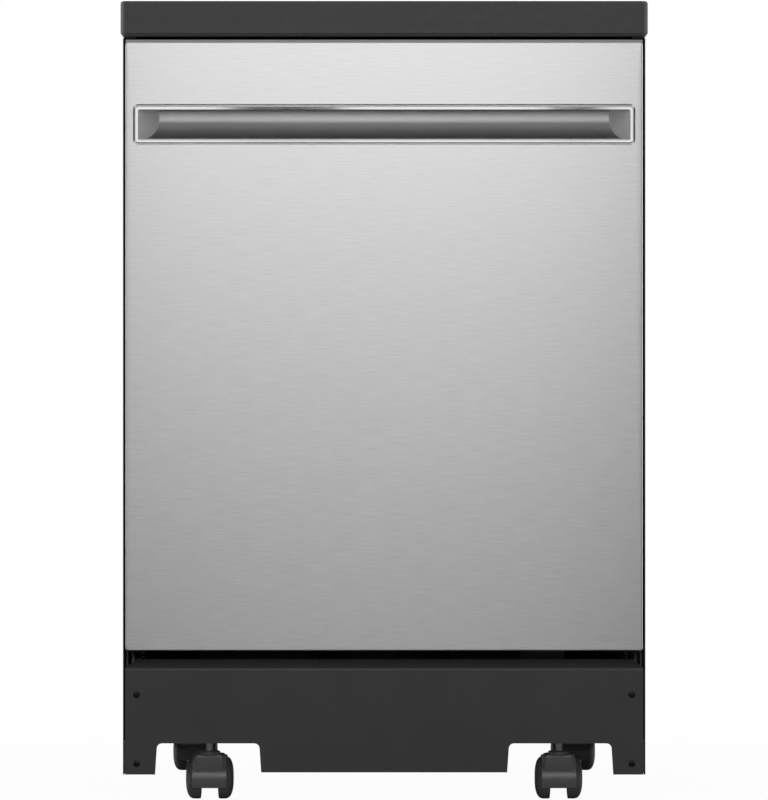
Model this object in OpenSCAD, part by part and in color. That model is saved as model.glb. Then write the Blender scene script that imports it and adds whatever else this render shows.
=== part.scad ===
// Portable dishwasher on wheels.
// Millimetres. The front faces -Y, +X is to the right, +Z is up.
// The origin is on the floor, under the middle of the worktop.

/* [Overall] */
// Height from the floor to the top of the worktop
overall_h = 927; // [890:1:960]
// Width of the worktop
worktop_w = 609; // [600:1:640]
// Depth of the worktop
worktop_d = 640; // [620:1:680]
// Thickness of the worktop
worktop_t = 41; // [25:1:50]
// Chamfer along the lower edges of the worktop
worktop_chamfer = 3.5; // [1:0.5:6]
// Width over the two side panels
cabinet_w = 603; // [595:1:607]
// Thickness of the side and back sheets
sheet_t = 1.2; // [0.8:0.1:1.6]
// Height of the lower edge of the side panels over the floor
side_rise = 34; // [28:1:40]
// Distance from the back panel to the rear edge of the worktop
back_setback = 14; // [8:1:16]

/* [Door] */
// Gap from the cabinet's outer face in to the edge of the door
door_side = 3; // [2.5:0.5:6]
// Thickness of the door, outer face to liner
door_t = 54; // [50:1:58]
// Distance from the door face to the front edge of the worktop
door_setback = 4; // [3.5:0.5:10]
// Height of the lower edge of the door over the floor
door_rise = 177; // [174:1:185]
// Gap between the worktop and the top of the door
door_top_gap = 5.4; // [4:0.2:8]
// Height of the door panel's upper edge over the rest of the door
door_lip = 2.4; // [0:0.2:3]
// Distance from the door face back to the hinge pin
hinge_inset = 20; // [19:1:22]
// Height of the hinge pin over the lower edge of the door
hinge_up = 22; // [20:1:24]
// Thickness of the door sheets
skin_t = 1; // [0.8:0.1:1.2]
// Distance from the edge of the door in to its liner
liner_side = 10.5; // [9.5:0.5:12]
// Diameter of the hinge pins
hinge_pin_d = 8; // [6:0.5:10]

/* [Handle] */
// Distance from the edge of the door in to the bright bezel
bezel_side = 8.5; // [7:0.5:48]
// Height of the bright bezel
bezel_h = 46.5; // [42:0.5:52]
// Distance from the top of the door to the bezel
bezel_drop = 72; // [60:1:90]
// Width of the bezel's rim
bezel_rim = 6.4; // [5:0.1:8]
// Thickness of the bezel's rim
bezel_t = 1.2; // [0.8:0.1:2]
// Depth of the finger pocket
pocket_depth = 27; // [20:1:32]
// Share of the pocket's height below its deepest line
pocket_deepest = 0.73; // [0.5:0.01:0.75]
// Share of the pocket's depth at its two lips
pocket_lip = 0.6; // [0:0.05:0.7]
// Length of each sloping end of the pocket
pocket_end = 24; // [12:1:32]

/* [Console] */
// Height of the control console
console_h = 17; // [15:1:20]
// Wall of the control console
console_wall = 2.5; // [2:0.1:3]
// Length of a button
button_l = 22; // [16:1:26]
// Width of a button
button_w = 12; // [8:1:14]
// Spacing of the buttons
button_pitch = 48; // [34:1:55]
// Travel of a button
button_travel = 1.5; // [0.8:0.1:1.6]

/* [Access panel] */
// Gap from the cabinet's outer face in to the edge of the access panel
access_side = 3.5; // [3:0.5:8]
// Height of the upper edge of its flat face over the floor
access_top = 156; // [150:1:158]
// Height of its middle lower edge over the floor
access_rise = 36.5; // [30:0.5:44]
// Width of each caster cut-out
cutout_w = 122.5; // [108:0.5:130]
// Height of the top of a cut-out over the floor
cutout_top = 70; // [64:1:71]
// Corner radius of a cut-out
cutout_r = 6; // [3:1:10]
// Distance from the edge of the access panel to its screws
screw_in = 12; // [9:1:16]
// Head diameter of the panel screws
screw_head_d = 8; // [6:0.5:9]

/* [Casters] */
// Diameter of a caster wheel
wheel_d = 50; // [46:1:51]
// Width of one wheel
wheel_w = 17.75; // [14:0.25:19]
// Gap between the two wheels of a caster
wheel_gap = 20; // [18:0.5:22]
// Distance from the stem back to the axle
caster_trail = 18; // [16:1:20]
// Width of the caster hood
hood_w = 41; // [36:1:48]
// Wall of the caster hood
hood_t = 1.8; // [1.5:0.1:2.5]
// Diameter of a caster stem
stem_d = 8; // [7:0.5:10]
// Distance from the cabinet's outer face in to the front stems
front_stem_in = 97.5; // [94:0.5:102]
// Distance from the cabinet's outer face in to the rear stems
rear_stem_in = 63.7; // [61:0.1:76]
// Place of the front stems, front to back
front_stem_y = -250; // [-253:1:-245]
// Place of the rear stems, front to back
rear_stem_y = 205; // [195:1:215]

/* [Tub] */
// Gap from the cabinet's outer face in to the tub
tub_side = 26.5; // [25.5:0.5:28.5]
// Wall of the tub
tub_wall = 1.2; // [0.8:0.1:1.4]
// Distance from the tub's back to the back panel's face
tub_back_gap = 22; // [21:1:26]
// Height of the tub's sill over the hinge pin
sill_up = 34; // [34:1:36]
// Depth of the well in the tub floor
well_depth = 27; // [24:1:30]
// Width of the ledge along each side of the well
well_ledge = 39; // [37:1:41]
// Distance from the tub's roof to the worktop
tub_top_gap = 14; // [12.5:0.5:16]
// Corner radius of the tub
tub_r = 16; // [8:1:24]

/* [Racks] */
// Thickness of the rack wires
wire_t = 4; // [3.5:0.1:4.5]
// Gap from the side of the tub to the racks
rack_side = 20; // [19:0.5:24]
// Front to back length of the lower rack
lower_rack_d = 470; // [455:1:472]
// Front to back length of the upper rack
upper_rack_d = 475; // [455:1:478]
// Height of the lower rack
lower_rack_h = 114; // [100:1:125]
// Height of the upper rack
upper_rack_h = 116; // [100:1:130]
// Height of the upper rack's floor over the tub sill
upper_rack_up = 367; // [358:1:375]
// Number of wires across each rack
rack_wires = 9; // [7:1:11]
// Diameter of the lower rack's rollers
roller_d = 34; // [30:1:35]
// Height of the plate tines
tine_h = 82; // [60:1:88]

/* [Spray arms] */
// Gap from the tip of the lower spray arm to the side of the well
lower_arm_gap = 13; // [11:1:36]
// Distance from the tip of the upper spray arm in from the side of the rack
upper_arm_gap = 25; // [20:1:55]
// Width of a spray arm at its hub
arm_w = 52; // [44:1:60]
// Thickness of a spray arm
arm_t = 13; // [10:1:14]

/* [Pump and sump] */
// Diameter of the sump bowl
sump_d = 172; // [160:1:180]
// Depth of the sump bowl
sump_h = 72; // [66:1:76]
// Diameter of the circulation pump's volute
volute_d = 92; // [84:1:96]
// Diameter of the wash motor
motor_d = 82; // [70:1:84]
// Length of the wash motor
motor_l = 96; // [80:1:104]

/* [Rear connections] */
// Thread diameter of the fill inlet
fill_d = 26.4; // [20:0.1:28]
// Outer diameter of the drain spigot
drain_d = 21; // [18:0.5:24]
// Bore of the cord gland
gland_bore_d = 9; // [7:0.5:10]

/* [Fits] */
// Running clearance of pins in bores, on the radius
pin_play = 0.05; // [0.02:0.01:0.1]
// Gap between faces that slide past each other
slide_gap = 0.4; // [0.3:0.05:0.6]
// Gap between a loose piece and its seat
seat_gap = 0.3; // [0.3:0.05:0.5]

/* [Hidden] */
$fn = 48;

// Main planes of the cabinet
worktop_z = overall_h - worktop_t;
front_y = -worktop_d / 2 + door_setback;
back_y = worktop_d / 2 - back_setback;
side_in = cabinet_w / 2 - sheet_t;
door_w = cabinet_w - 2 * door_side;
liner_w = door_w - 2 * liner_side;
access_w = cabinet_w - 2 * access_side;
bezel_w = door_w - 2 * bezel_side;
tub_w = cabinet_w - 2 * tub_side;
well_w = tub_w - 2 * well_ledge;
rack_w = tub_w - 2 * rack_side;
lower_arm_l = well_w - 2 * lower_arm_gap;
upper_arm_l = rack_w - 2 * upper_arm_gap;
side_top = worktop_z - 2;
back_in = back_y - sheet_t;

// Door planes and the hinge axis
door_top = worktop_z - door_top_gap;
hinge_y = front_y + hinge_inset;
hinge_z = door_rise + hinge_up;
liner_y = front_y + door_t;
liner_z0 = hinge_z - 9;
liner_z1 = door_top - 1.6;
skin_in = front_y + skin_t;
liner_front = liner_y - tub_wall;

// Tub planes
gasket_t = 4;
tub_front = liner_y + gasket_t;
tub_back = back_y - tub_back_gap;
tub_in_x = tub_w / 2 - tub_wall;
sill_z = hinge_z + sill_up;
tub_top = worktop_z - tub_top_gap;
well_z = sill_z - well_depth;
well_y0 = tub_front + 18;
well_y1 = tub_back - 6;
tub_depth = tub_back - tub_front;
flange_w = 17;
flange_top = tub_top + 9;

// Base frame
plate_t = 2;
plate_z = cutout_top + 2;
frame_top = plate_z + plate_t;
post_leg = 30;
post_wall = 2;
front_stem_x = cabinet_w / 2 - front_stem_in;
rear_stem_x = cabinet_w / 2 - rear_stem_in;
cutout_x = front_stem_x - 0.7;
screw_x = access_w / 2 - screw_in;
pan_x = front_stem_x + 24;
spring_clear_z = hinge_z + 63;

// Lower screws are near the legs, upper ones near the door
screw_zs = [side_rise + 12.7, access_top - 29.5];

// Spray arm centre in the lower wash zone
arm_y = 20;
arm_pin_d = 12;
lower_arm_z = sill_z - 1;

// Racks
rack_x = rack_w / 2;
lower_rack_y1 = tub_back - 35;
lower_rack_y0 = lower_rack_y1 - lower_rack_d;
lower_floor_z = sill_z + 26;
roller_z = sill_z + roller_d / 2 + seat_gap;
roller_ys = [lower_rack_y0 + 70, lower_rack_y1 - 60];
roller_x = rack_x + 2;
roller_w = 10;
roller_pin_d = 6;
upper_rack_y1 = tub_back - 55;
upper_rack_y0 = upper_rack_y1 - upper_rack_d;
upper_floor_z = sill_z + upper_rack_up;
rail_h = 24;
rail_z = upper_floor_z - 2;
rail_t = 2;
rail_x = rack_x + 9;
upper_arm_z = upper_floor_z - 34;

// Fold-down tine row
wire_step = (2 * rack_x - 60) / (rack_wires - 1);
fold_x = 30 - rack_x + 5 * wire_step + 3.75;
fold_z = lower_floor_z + wire_t + 6;
fold_y0 = lower_rack_y0 + 30;
fold_y1 = lower_rack_y1 - 40;
tine_pitch = 36;

// Latch and strike
latch_z = tub_top - 13;
strike_y = liner_y - 13;

// Dispenser on the liner
disp_w = 190;
disp_h = 140;
disp_z = sill_z + 227;
cup_w = 64;
cup_z = disp_z + 62;
cup_x = 8;
disp_face = liner_y + 4;

// Sump and pump
sump_z1 = well_z;
sump_z0 = sump_z1 - sump_h;
sump_wall = 3;
pump_z = sump_z1 - volute_d / 2 - 6;
pump_x = sump_d / 2 + 4;
volute_l = 38;
drain_pump_d = 48;

// Rear connections
conn_z = frame_top + 52;
gland_x = cabinet_w / 2 - 111.5;
fill_x = -gland_x;
drain_x = fill_x + 80;
conn_end = back_y + back_setback - 2;

// A box given by two corners
module block(a, b) {
    translate(a) cube(b - a);
}

// The same shape on the left and on the right
module both_sides() {
    children();
    mirror([1, 0, 0]) children();
}

// Points of a rectangle with round corners
function arc_points(cx, cy, r, a0) = [for (i = [0:4]) [cx + r * cos(a0 + i * 22.5), cy + r * sin(a0 + i * 22.5)]];
function round_rect(x0, y0, x1, y1, r) = concat(
    arc_points(x1 - r, y1 - r, r, 0), arc_points(x0 + r, y1 - r, r, 90),
    arc_points(x0 + r, y0 + r, r, 180), arc_points(x1 - r, y0 + r, r, 270));

// An outline drawn in X and Z, run from y0 to y1
module along_y(y0, y1) {
    translate([0, y1, 0]) rotate([90, 0, 0]) linear_extrude(y1 - y0) children();
}

// An outline drawn in Y and Z, run from x0 to x1
module along_x(x0, x1) {
    translate([x0, 0, 0]) rotate([90, 0, 90]) linear_extrude(x1 - x0) children();
}

// A rod along X
module rod_x(x0, x1, y, z, d) {
    translate([x0, y, z]) rotate([0, 90, 0]) cylinder(d = d, h = x1 - x0);
}

// A rod along Y
module rod_y(y0, y1, x, z, d) {
    translate([x, y1, z]) rotate([90, 0, 0]) cylinder(d = d, h = y1 - y0);
}

// A rod along Z
module rod_z(z0, z1, x, y, d) {
    translate([x, y, z0]) cylinder(d = d, h = z1 - z0);
}

// ---------------------------------------------------------------- cabinet

module worktop() {
    w = worktop_w / 2;
    d = worktop_d / 2;
    c = worktop_chamfer;
    edge = 1.5;
    color("dimgray") intersection() {
        along_y(-d, d) polygon([
            [-w + c, worktop_z], [w - c, worktop_z], [w, worktop_z + c], [w, overall_h - edge],
            [w - edge, overall_h], [edge - w, overall_h], [-w, overall_h - edge], [-w, worktop_z + c]]);
        along_x(-w, w) polygon([
            [-d + c, worktop_z], [d - c, worktop_z], [d, worktop_z + c], [d, overall_h - edge],
            [d - edge, overall_h], [edge - d, overall_h], [-d, overall_h - edge], [-d, worktop_z + c]]);
    }
}

// Folded side sheet with a flange that the back panel lies on
module side_panel() {
    flange = 14;
    block([side_in, front_y + 2, side_rise], [cabinet_w / 2, back_in, side_top]);
    block([side_in - flange, back_in - sheet_t, side_rise + 30], [cabinet_w / 2, back_in, side_top]);
}

module side_panel_left() {
    color("black") mirror([1, 0, 0]) side_panel();
}

module side_panel_right() {
    color("black") side_panel();
}

module back_panel() {
    slot_n = 6;
    slot_pitch = 14;
    color("black") difference() {
        block([-cabinet_w / 2, back_in, side_rise], [cabinet_w / 2, back_y, side_top]);
        rod_y(back_in - 1, back_y + 1, fill_x, conn_z, fill_d + 8);
        rod_y(back_in - 1, back_y + 1, drain_x, conn_z, drain_d + 8);
        rod_y(back_in - 1, back_y + 1, gland_x, conn_z, gland_bore_d + 7.2);
        for (i = [0:slot_n - 1])
            block([-60, back_in - 1, conn_z - 30 + i * slot_pitch], [60, back_y + 1, conn_z - 24 + i * slot_pitch]);
    }
}

// Pressed ring that carries the casters, the posts and the access panel
module base_frame() {
    front = front_y + 3 + sheet_t;
    tab_w = 22;
    tab_x = side_in - 4 - tab_w;
    color("gray") difference() {
        union() {
            block([-side_in, front, plate_z], [side_in, back_in - sheet_t, frame_top]);
            block([-side_in + 4, front, plate_z], [side_in - 4, front + post_wall, screw_zs[1] + 10]);
            block([-side_in + post_leg, back_in - sheet_t - post_wall, plate_z],
                [side_in - post_leg, back_in - sheet_t, frame_top + 22]);
            both_sides() {
                block([side_in - post_wall, tub_front + post_leg + 2, plate_z],
                    [side_in, back_in - sheet_t - post_leg, frame_top + 30]);
                block([tab_x, front, side_rise + 4], [tab_x + tab_w, front + post_wall, frame_top]);
                block([spring_x - 3, spring_y - 5, plate_z], [spring_x + 3, spring_y + 5, spring_z0 - 2]);
            }
        }
        block([22 - front_stem_x, -190, plate_z - 1], [front_stem_x - 22, 150, frame_top + 1]);
        both_sides() {
            for (z = screw_zs) rod_y(front - 1, front + post_wall + 1, screw_x, z, 4.2);
            rod_z(plate_z - 1, frame_top + 1, front_stem_x, front_stem_y, stem_d + 2 * pin_play);
            rod_z(plate_z - 1, frame_top + 1, rear_stem_x, rear_stem_y, stem_d + 2 * pin_play);
        }
    }
}

// Corner posts, top rails and the rear bar that the tub rests against
module cabinet_frame() {
    y0 = tub_front + tub_wall;
    y1 = back_in - sheet_t;
    leg = side_in - tub_w / 2 - 9.3;
    bar_z = sill_z + 255;
    bar_h = 30;
    color("gray") {
        both_sides() {
            block([side_in - post_wall, y0, frame_top], [side_in, y0 + post_leg, worktop_z - plate_t]);
            block([side_in - leg, y0, spring_clear_z], [side_in, y0 + post_wall, worktop_z - plate_t]);
            block([side_in - post_wall, y1 - post_leg, frame_top], [side_in, y1, worktop_z - plate_t]);
            block([side_in - post_leg, y1 - post_wall, frame_top], [side_in, y1, worktop_z - plate_t]);
            block([side_in - 20, y0, worktop_z - plate_t], [side_in, y1, worktop_z]);
        }
        block([-side_in, y0, worktop_z - plate_t], [side_in, y0 + 20, worktop_z]);
        block([-side_in, y1 - 20, worktop_z - plate_t], [side_in, y1, worktop_z]);
        difference() {
            block([-side_in, tub_back, bar_z], [side_in, y1, bar_z + bar_h]);
            block([-side_in - 1, tub_back + post_wall, bar_z + post_wall],
                [side_in + 1, y1 - post_wall, bar_z + bar_h - post_wall]);
        }
    }
}

// Drip tray under the pump
module base_pan() {
    wall = 2;
    x = pan_x;
    y0 = -204;
    y1 = 168;
    color("gray") difference() {
        block([-x, y0, frame_top], [x, y1, frame_top + 20]);
        block([-x + wall, y0 + wall, frame_top + wall], [x - wall, y1 - wall, frame_top + 21]);
    }
}

// One caster opening in the lower edge, with slanted sides
module cutout() {
    w = cutout_w / 2;
    slant = 2;
    r = cutout_r;
    polygon(concat(
        [[w, side_rise - 5]],
        arc_points(w - slant - r, cutout_top - r, r, 0),
        arc_points(r + slant - w, cutout_top - r, r, 90),
        [[-w, side_rise - 5]]));
}

module access_panel() {
    w = access_w / 2;
    y0 = front_y + 3;
    leg_in = cutout_x - cutout_w / 2;
    flange_y = hinge_y + 3;
    flange_z = access_top + 10.5;
    cut = 12;
    color("black") {
        difference() {
            along_y(y0, y0 + sheet_t) polygon([
                [-w, side_rise], [-leg_in, side_rise], [-leg_in, access_rise], [leg_in, access_rise],
                [leg_in, side_rise], [w, side_rise], [w, access_top], [-w, access_top]]);
            both_sides() {
                along_y(y0 - 1, y0 + sheet_t + 1) translate([cutout_x, 0]) cutout();
                for (z = screw_zs) rod_y(y0 - 1, y0 + sheet_t + 1, screw_x, z, 4.2);
            }
        }
        intersection() {
            along_x(-w, w) polygon([
                [y0, access_top - 0.1], [y0 + sheet_t, access_top - 0.1],
                [y0 + sheet_t, access_top + 0.1], [flange_y, flange_z - sheet_t],
                [flange_y, flange_z], [y0, access_top + 1]]);
            linear_extrude(door_rise) polygon([
                [-w, y0 - 1], [w, y0 - 1], [w, y0 + 3], [w - cut, flange_y + 1],
                [cut - w, flange_y + 1], [-w, y0 + 3]]);
        }
    }
}

module access_panel_screws() {
    y0 = front_y + 3;
    shank = 10;
    color("dimgray") both_sides() for (z = screw_zs) difference() {
        union() {
            rod_y(y0, y0 + shank, screw_x, z, 4);
            translate([screw_x, y0, z]) rotate([90, 0, 0]) cylinder(d1 = screw_head_d, d2 = screw_head_d - 2, h = 1.6);
        }
        rod_y(y0 - 2, y0 - 0.8, screw_x, z, 3);
    }
}

// ---------------------------------------------------------------- casters

collar_z = wheel_d + 9;
boss_z = wheel_d + 0.5;

// Each stem stands in a socket that is riveted to the base frame
module caster_stem(x, y) {
    rod_z(wheel_d / 2 + 8, frame_top + 24, x, y, stem_d);
    difference() {
        rod_z(frame_top, frame_top + 28, x, y, stem_d + 12);
        rod_z(frame_top - 1, frame_top + 26, x, y, stem_d + 2 * pin_play);
    }
}

module caster_stems() {
    color("silver") both_sides() {
        caster_stem(front_stem_x, front_stem_y);
        caster_stem(rear_stem_x, rear_stem_y);
    }
}

// Hood over the two wheels, with its web, hub and swivel bore, around the stem
module caster_hood(x, y) {
    r_in = wheel_d / 2 + 1.2;
    r_out = r_in + hood_t;
    axle_z = wheel_d / 2;
    web = wheel_gap / 2 - 2;
    low = 11.4;
    reach = 60;
    color("black") translate([x, y, 0]) difference() {
        union() {
            difference() {
                rod_x(-hood_w / 2, hood_w / 2, caster_trail, axle_z, 2 * r_out);
                rod_x(-hood_w / 2 - 1, hood_w / 2 + 1, caster_trail, axle_z, 2 * r_in);
                block([-hood_w, caster_trail - reach, -reach], [hood_w, caster_trail, axle_z - low]);
                block([-hood_w, caster_trail, -reach], [hood_w, caster_trail + reach, axle_z + low]);
            }
            difference() {
                rod_x(-web, web, caster_trail, axle_z, 2 * r_in + 1);
                block([-hood_w, caster_trail - reach, -reach], [hood_w, caster_trail + reach, axle_z - low]);
            }
            rod_z(axle_z + 4, boss_z + 0.2, 0, 0, 2 * web);
            rod_z(boss_z, boss_z + 4.5, 0, 0, 35);
            rod_z(boss_z + 4.3, collar_z, 0, 0, 25);
        }
        rod_z(axle_z + 7, collar_z + 1, 0, 0, stem_d + 2 * pin_play);
        rod_x(-web - 1, web + 1, caster_trail, axle_z, axle_d + 2 * pin_play);
    }
}

axle_d = 6;

// Two crowned wheels on one axle
module caster_wheels(x, y) {
    r = wheel_d / 2;
    g = wheel_gap / 2;
    crown = 3;
    translate([x, y + caster_trail, r]) {
        color("silver") rod_x(1 - g - wheel_w, g + wheel_w - 1, 0, 0, axle_d);
        color("black") both_sides() rotate([0, 90, 0]) rotate_extrude() polygon([
            [axle_d / 2 + pin_play, g], [r - crown / 2, g], [r, g + crown], [r, g + wheel_w - 2 * crown],
            [r - crown, g + wheel_w - crown / 2], [r - 3 * crown, g + wheel_w], [axle_d / 2 + pin_play, g + wheel_w]]);
    }
}

module caster_front_left_hood() caster_hood(-front_stem_x, front_stem_y);
module caster_front_right_hood() caster_hood(front_stem_x, front_stem_y);
module caster_rear_left_hood() caster_hood(-rear_stem_x, rear_stem_y);
module caster_rear_right_hood() caster_hood(rear_stem_x, rear_stem_y);
module caster_front_left_wheels() caster_wheels(-front_stem_x, front_stem_y);
module caster_front_right_wheels() caster_wheels(front_stem_x, front_stem_y);
module caster_rear_left_wheels() caster_wheels(-rear_stem_x, rear_stem_y);
module caster_rear_right_wheels() caster_wheels(rear_stem_x, rear_stem_y);

// ---------------------------------------------------------------- tub

module tub() {
    out_x = tub_w / 2;
    well_x = well_w / 2;
    t = tub_wall;
    notch_x = out_x + 9;
    color("silver") difference() {
        union() {
            along_y(tub_front, tub_back) polygon(round_rect(-out_x, sill_z - t, out_x, tub_top, tub_r));
            block([-out_x, tub_front, sill_z - t], [out_x, tub_back, sill_z + tub_r]);
            block([-well_x - t, well_y0 - t, well_z], [well_x + t, well_y1 + t, sill_z]);
            block([-out_x - flange_w, tub_front, sill_z - 10], [out_x + flange_w, tub_front + t, flange_top]);
        }
        along_y(tub_front - 1, tub_back - t) polygon(
            round_rect(-tub_in_x, sill_z, tub_in_x, tub_top - t, tub_r - t));
        block([-tub_in_x, tub_front - 1, sill_z], [tub_in_x, tub_back - t, sill_z + tub_r]);
        block([-well_x, well_y0, well_z + t], [well_x, well_y1, sill_z + 1]);
        rod_z(well_z - 1, well_z + t + 1, 0, 0, sump_d - 12);
        both_sides() {
            block([notch_x, tub_front - 1, sill_z - 12], [out_x + flange_w + 1, tub_front + t + 1, spring_clear_z]);
            block([out_x + 3, tub_front - 1, sill_z - 12], [notch_x + 1, tub_front + t + 1, hinge_z + 37.5]);
            rod_z(well_z - 1, well_z + t + 1, heater_gap, heater_back, heater_d + 1);
        }
        rod_z(well_z - 1, well_z + t + 1, float_x, float_y, 8);
    }
}

// Bulb seal round the sides and top of the opening
module tub_gasket() {
    in_x = tub_w / 2 + 2.5;
    seal_w = 9;
    t = gasket_t - seat_gap;
    top = tub_top + 0.5 + seal_w - 1;
    color("black") difference() {
        block([-in_x - seal_w, tub_front - t, sill_z + 6], [in_x + seal_w, tub_front, top]);
        block([-in_x, tub_front - t - 1, sill_z], [in_x, tub_front + 1, top - seal_w]);
    }
}

// Felt over the roof and the two sides of the tub
module sound_blanket() {
    t = 5;
    x = tub_w / 2;
    y0 = tub_front + 20;
    y1 = tub_back - 10;
    color("dimgray") difference() {
        block([-x - t, y0, sill_z + 12], [x + t, y1, tub_top + t]);
        along_y(y0 - 1, y1 + 1) polygon(round_rect(-x, sill_z - 40, x, tub_top, tub_r));
    }
}

// ---------------------------------------------------------------- door hinge

arm_in = liner_w / 2;
arm_out = arm_in + 3;
bracket_in = arm_out + 0.5;
bracket_out = bracket_in + 3;
spring_x = arm_in - 5;
spring_y = hinge_y + 46;
spring_pin_z = hinge_z - 6;
spring_z0 = frame_top + 34;

// Hook-shaped plates that hold the hinge pins from behind
module hinge_brackets() {
    half = 8;
    back = hinge_y + 64;
    color("gray") both_sides() difference() {
        union() {
            block([bracket_in, hinge_y, hinge_z - half], [bracket_out, back, hinge_z + half]);
            rod_x(bracket_in, bracket_out, hinge_y, hinge_z, 2 * half);
            block([bracket_in, back - 16, frame_top], [bracket_out, back, hinge_z + half]);
            block([bracket_in, back - 16, frame_top], [side_in - post_wall - 0.2, back, frame_top + 3]);
        }
        rod_x(bracket_in - 1, bracket_out + 1, hinge_y, hinge_z, hinge_pin_d + 2 * pin_play);
    }
}

// Arms riveted to the door, each with its pin and a tail for the spring
module door_hinge_arms() {
    top = hinge_z + 130;
    color("silver") both_sides() {
        block([arm_in, hinge_y - 10, hinge_z - 12], [arm_out, hinge_y + 24, top]);
        along_x(arm_in, arm_out) polygon([
            [hinge_y, hinge_z - 12], [spring_y + 5, spring_pin_z - 5], [spring_y + 5, spring_pin_z + 6],
            [hinge_y + 24, hinge_z + 14], [hinge_y, hinge_z + 14]]);
        rod_x(arm_out - 1, bracket_out + 1, hinge_y, hinge_z, hinge_pin_d);
        rod_x(spring_x - 4, arm_in + 1, spring_y, spring_pin_z, 4);
    }
}

// Counterbalance springs, drawn as the outer form of their coils
module door_springs() {
    top = spring_pin_z - 2;
    color("silver") both_sides() {
        difference() {
            rod_z(spring_z0 + 4, top - 10, spring_x, spring_y, 11);
            rod_z(spring_z0 + 3, top - 9, spring_x, spring_y, 7);
        }
        difference() {
            rod_z(top - 11, top, spring_x, spring_y, 7);
            rod_z(top - 12, top - 2, spring_x, spring_y, 3);
        }
        rod_z(spring_z0 - 2, spring_z0 + 4.5, spring_x, spring_y, 8);
    }
}

// Loop under the tub's roof that the latch hooks over
module door_strike() {
    roof = tub_top - tub_wall;
    half = 13;
    bar = 3;
    back = tub_front + 22;
    color("silver") {
        block([-half, tub_front + 3, roof - 1.2], [half, back, roof]);
        block([-half + 3, back - bar, latch_z], [half - 3, back, roof]);
        both_sides() block([half - 3 - bar, strike_y, latch_z], [half - 3, back, latch_z + 4]);
        block([-half + 3, strike_y, latch_z], [half - 3, strike_y + bar, latch_z + 4]);
    }
}

// ---------------------------------------------------------------- door

module door_outer_panel() {
    x = door_w / 2;
    side = 20;
    lip = 10;
    top = door_top + door_lip;
    hole_x = bezel_w / 2 - bezel_rim + 1.8;
    hole_z1 = door_top - bezel_drop - bezel_rim + 1.8;
    hole_z0 = door_top - bezel_drop - bezel_h + bezel_rim - 1.8;
    color("silver") difference() {
        union() {
            block([-x, front_y, door_rise], [x, skin_in, top]);
            both_sides() block([x - skin_t, front_y, door_rise], [x, front_y + side, top]);
            block([-x, front_y, top - skin_t], [x, front_y + lip, top]);
            block([-x, front_y, door_rise], [x, front_y + lip, door_rise + skin_t]);
        }
        block([-hole_x, front_y - 1, hole_z0], [hole_x, skin_in + 1, hole_z1]);
    }
}

module door_liner() {
    x = liner_w / 2;
    t = tub_wall;
    color("silver") difference() {
        union() {
            block([-x, liner_front, liner_z0], [x, liner_y, liner_z1]);
            both_sides() block([x - t, skin_in, liner_z0], [x, liner_y, liner_z1]);
            block([-x, skin_in, liner_z0], [x, liner_y, liner_z0 + t]);
        }
        block([-disp_w / 2 + 3, liner_front - 1, disp_z + 3], [disp_w / 2 - 3, liner_y + 1, disp_z + disp_h - 3]);
        block([-14, liner_front - 1, latch_z - 2.5], [14, liner_y + 1, latch_z + 11]);
    }
}

module handle_bezel() {
    x = bezel_w / 2;
    z1 = door_top - bezel_drop;
    z0 = z1 - bezel_h;
    r = bezel_rim;
    color("lightgray") difference() {
        along_y(front_y - bezel_t, front_y) polygon(round_rect(-x, z0, x, z1, 4));
        along_y(front_y - bezel_t - 1, front_y + 1) polygon(round_rect(r - x, z0 + r, x - r, z1 - r, 3));
    }
}

// Scooped finger pocket, an arc from lip to lip with closed ends
module handle_pocket() {
    x = bezel_w / 2 - bezel_rim + 1.5;
    z1 = door_top - bezel_drop - bezel_rim + 1.5;
    z0 = door_top - bezel_drop - bezel_h + bezel_rim - 1.5;
    deep_z = z0 + pocket_deepest * (z1 - z0);
    wall = 1.6;
    color("darkgray") difference() {
        pocket_block(x, z0, z1, pocket_depth + wall)
            polygon(pocket_curve(pocket_depth + wall, z0, deep_z, z1, 0));
        pocket_block(x - wall, z0, z1, pocket_depth)
            polygon(pocket_curve(pocket_depth, z0 + wall, deep_z, z1 - wall, 1));
    }
}

// Straight in from each lip, then two quarter ellipses that meet at the deepest line
function pocket_curve(depth, low, deep_z, high, ahead) = concat(
    [[front_y - ahead, high]],
    [for (a = [90:-15:-90]) [
        front_y + depth * (pocket_lip + (1 - pocket_lip) * cos(a)),
        deep_z + (a > 0 ? high - deep_z : deep_z - low) * sin(a)]],
    [[front_y - ahead, low]]);

// The curve run along the handle and cut off by its two sloping ends
module pocket_block(x, z0, z1, depth) {
    in = pocket_end * depth / pocket_depth;
    slope = pocket_end / pocket_depth;
    intersection() {
        along_x(-x, x) children();
        translate([0, 0, z0 - 1]) linear_extrude(z1 - z0 + 2) polygon([
            [-x - 2 * slope, front_y - 2], [x + 2 * slope, front_y - 2],
            [x - in, front_y + depth], [in - x, front_y + depth]]);
    }
}

// ---------------------------------------------------------------- console

console_x = liner_w / 2 - tub_wall;
console_z1 = door_top - skin_t - 0.2;
console_z0 = console_z1 - console_h;
button_xs = [for (i = [-2.5, -1.5, 1.5, 2.5]) i * button_pitch];
button_y = (front_y + liner_y) / 2 - 2;
latch_half = 24;

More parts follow.
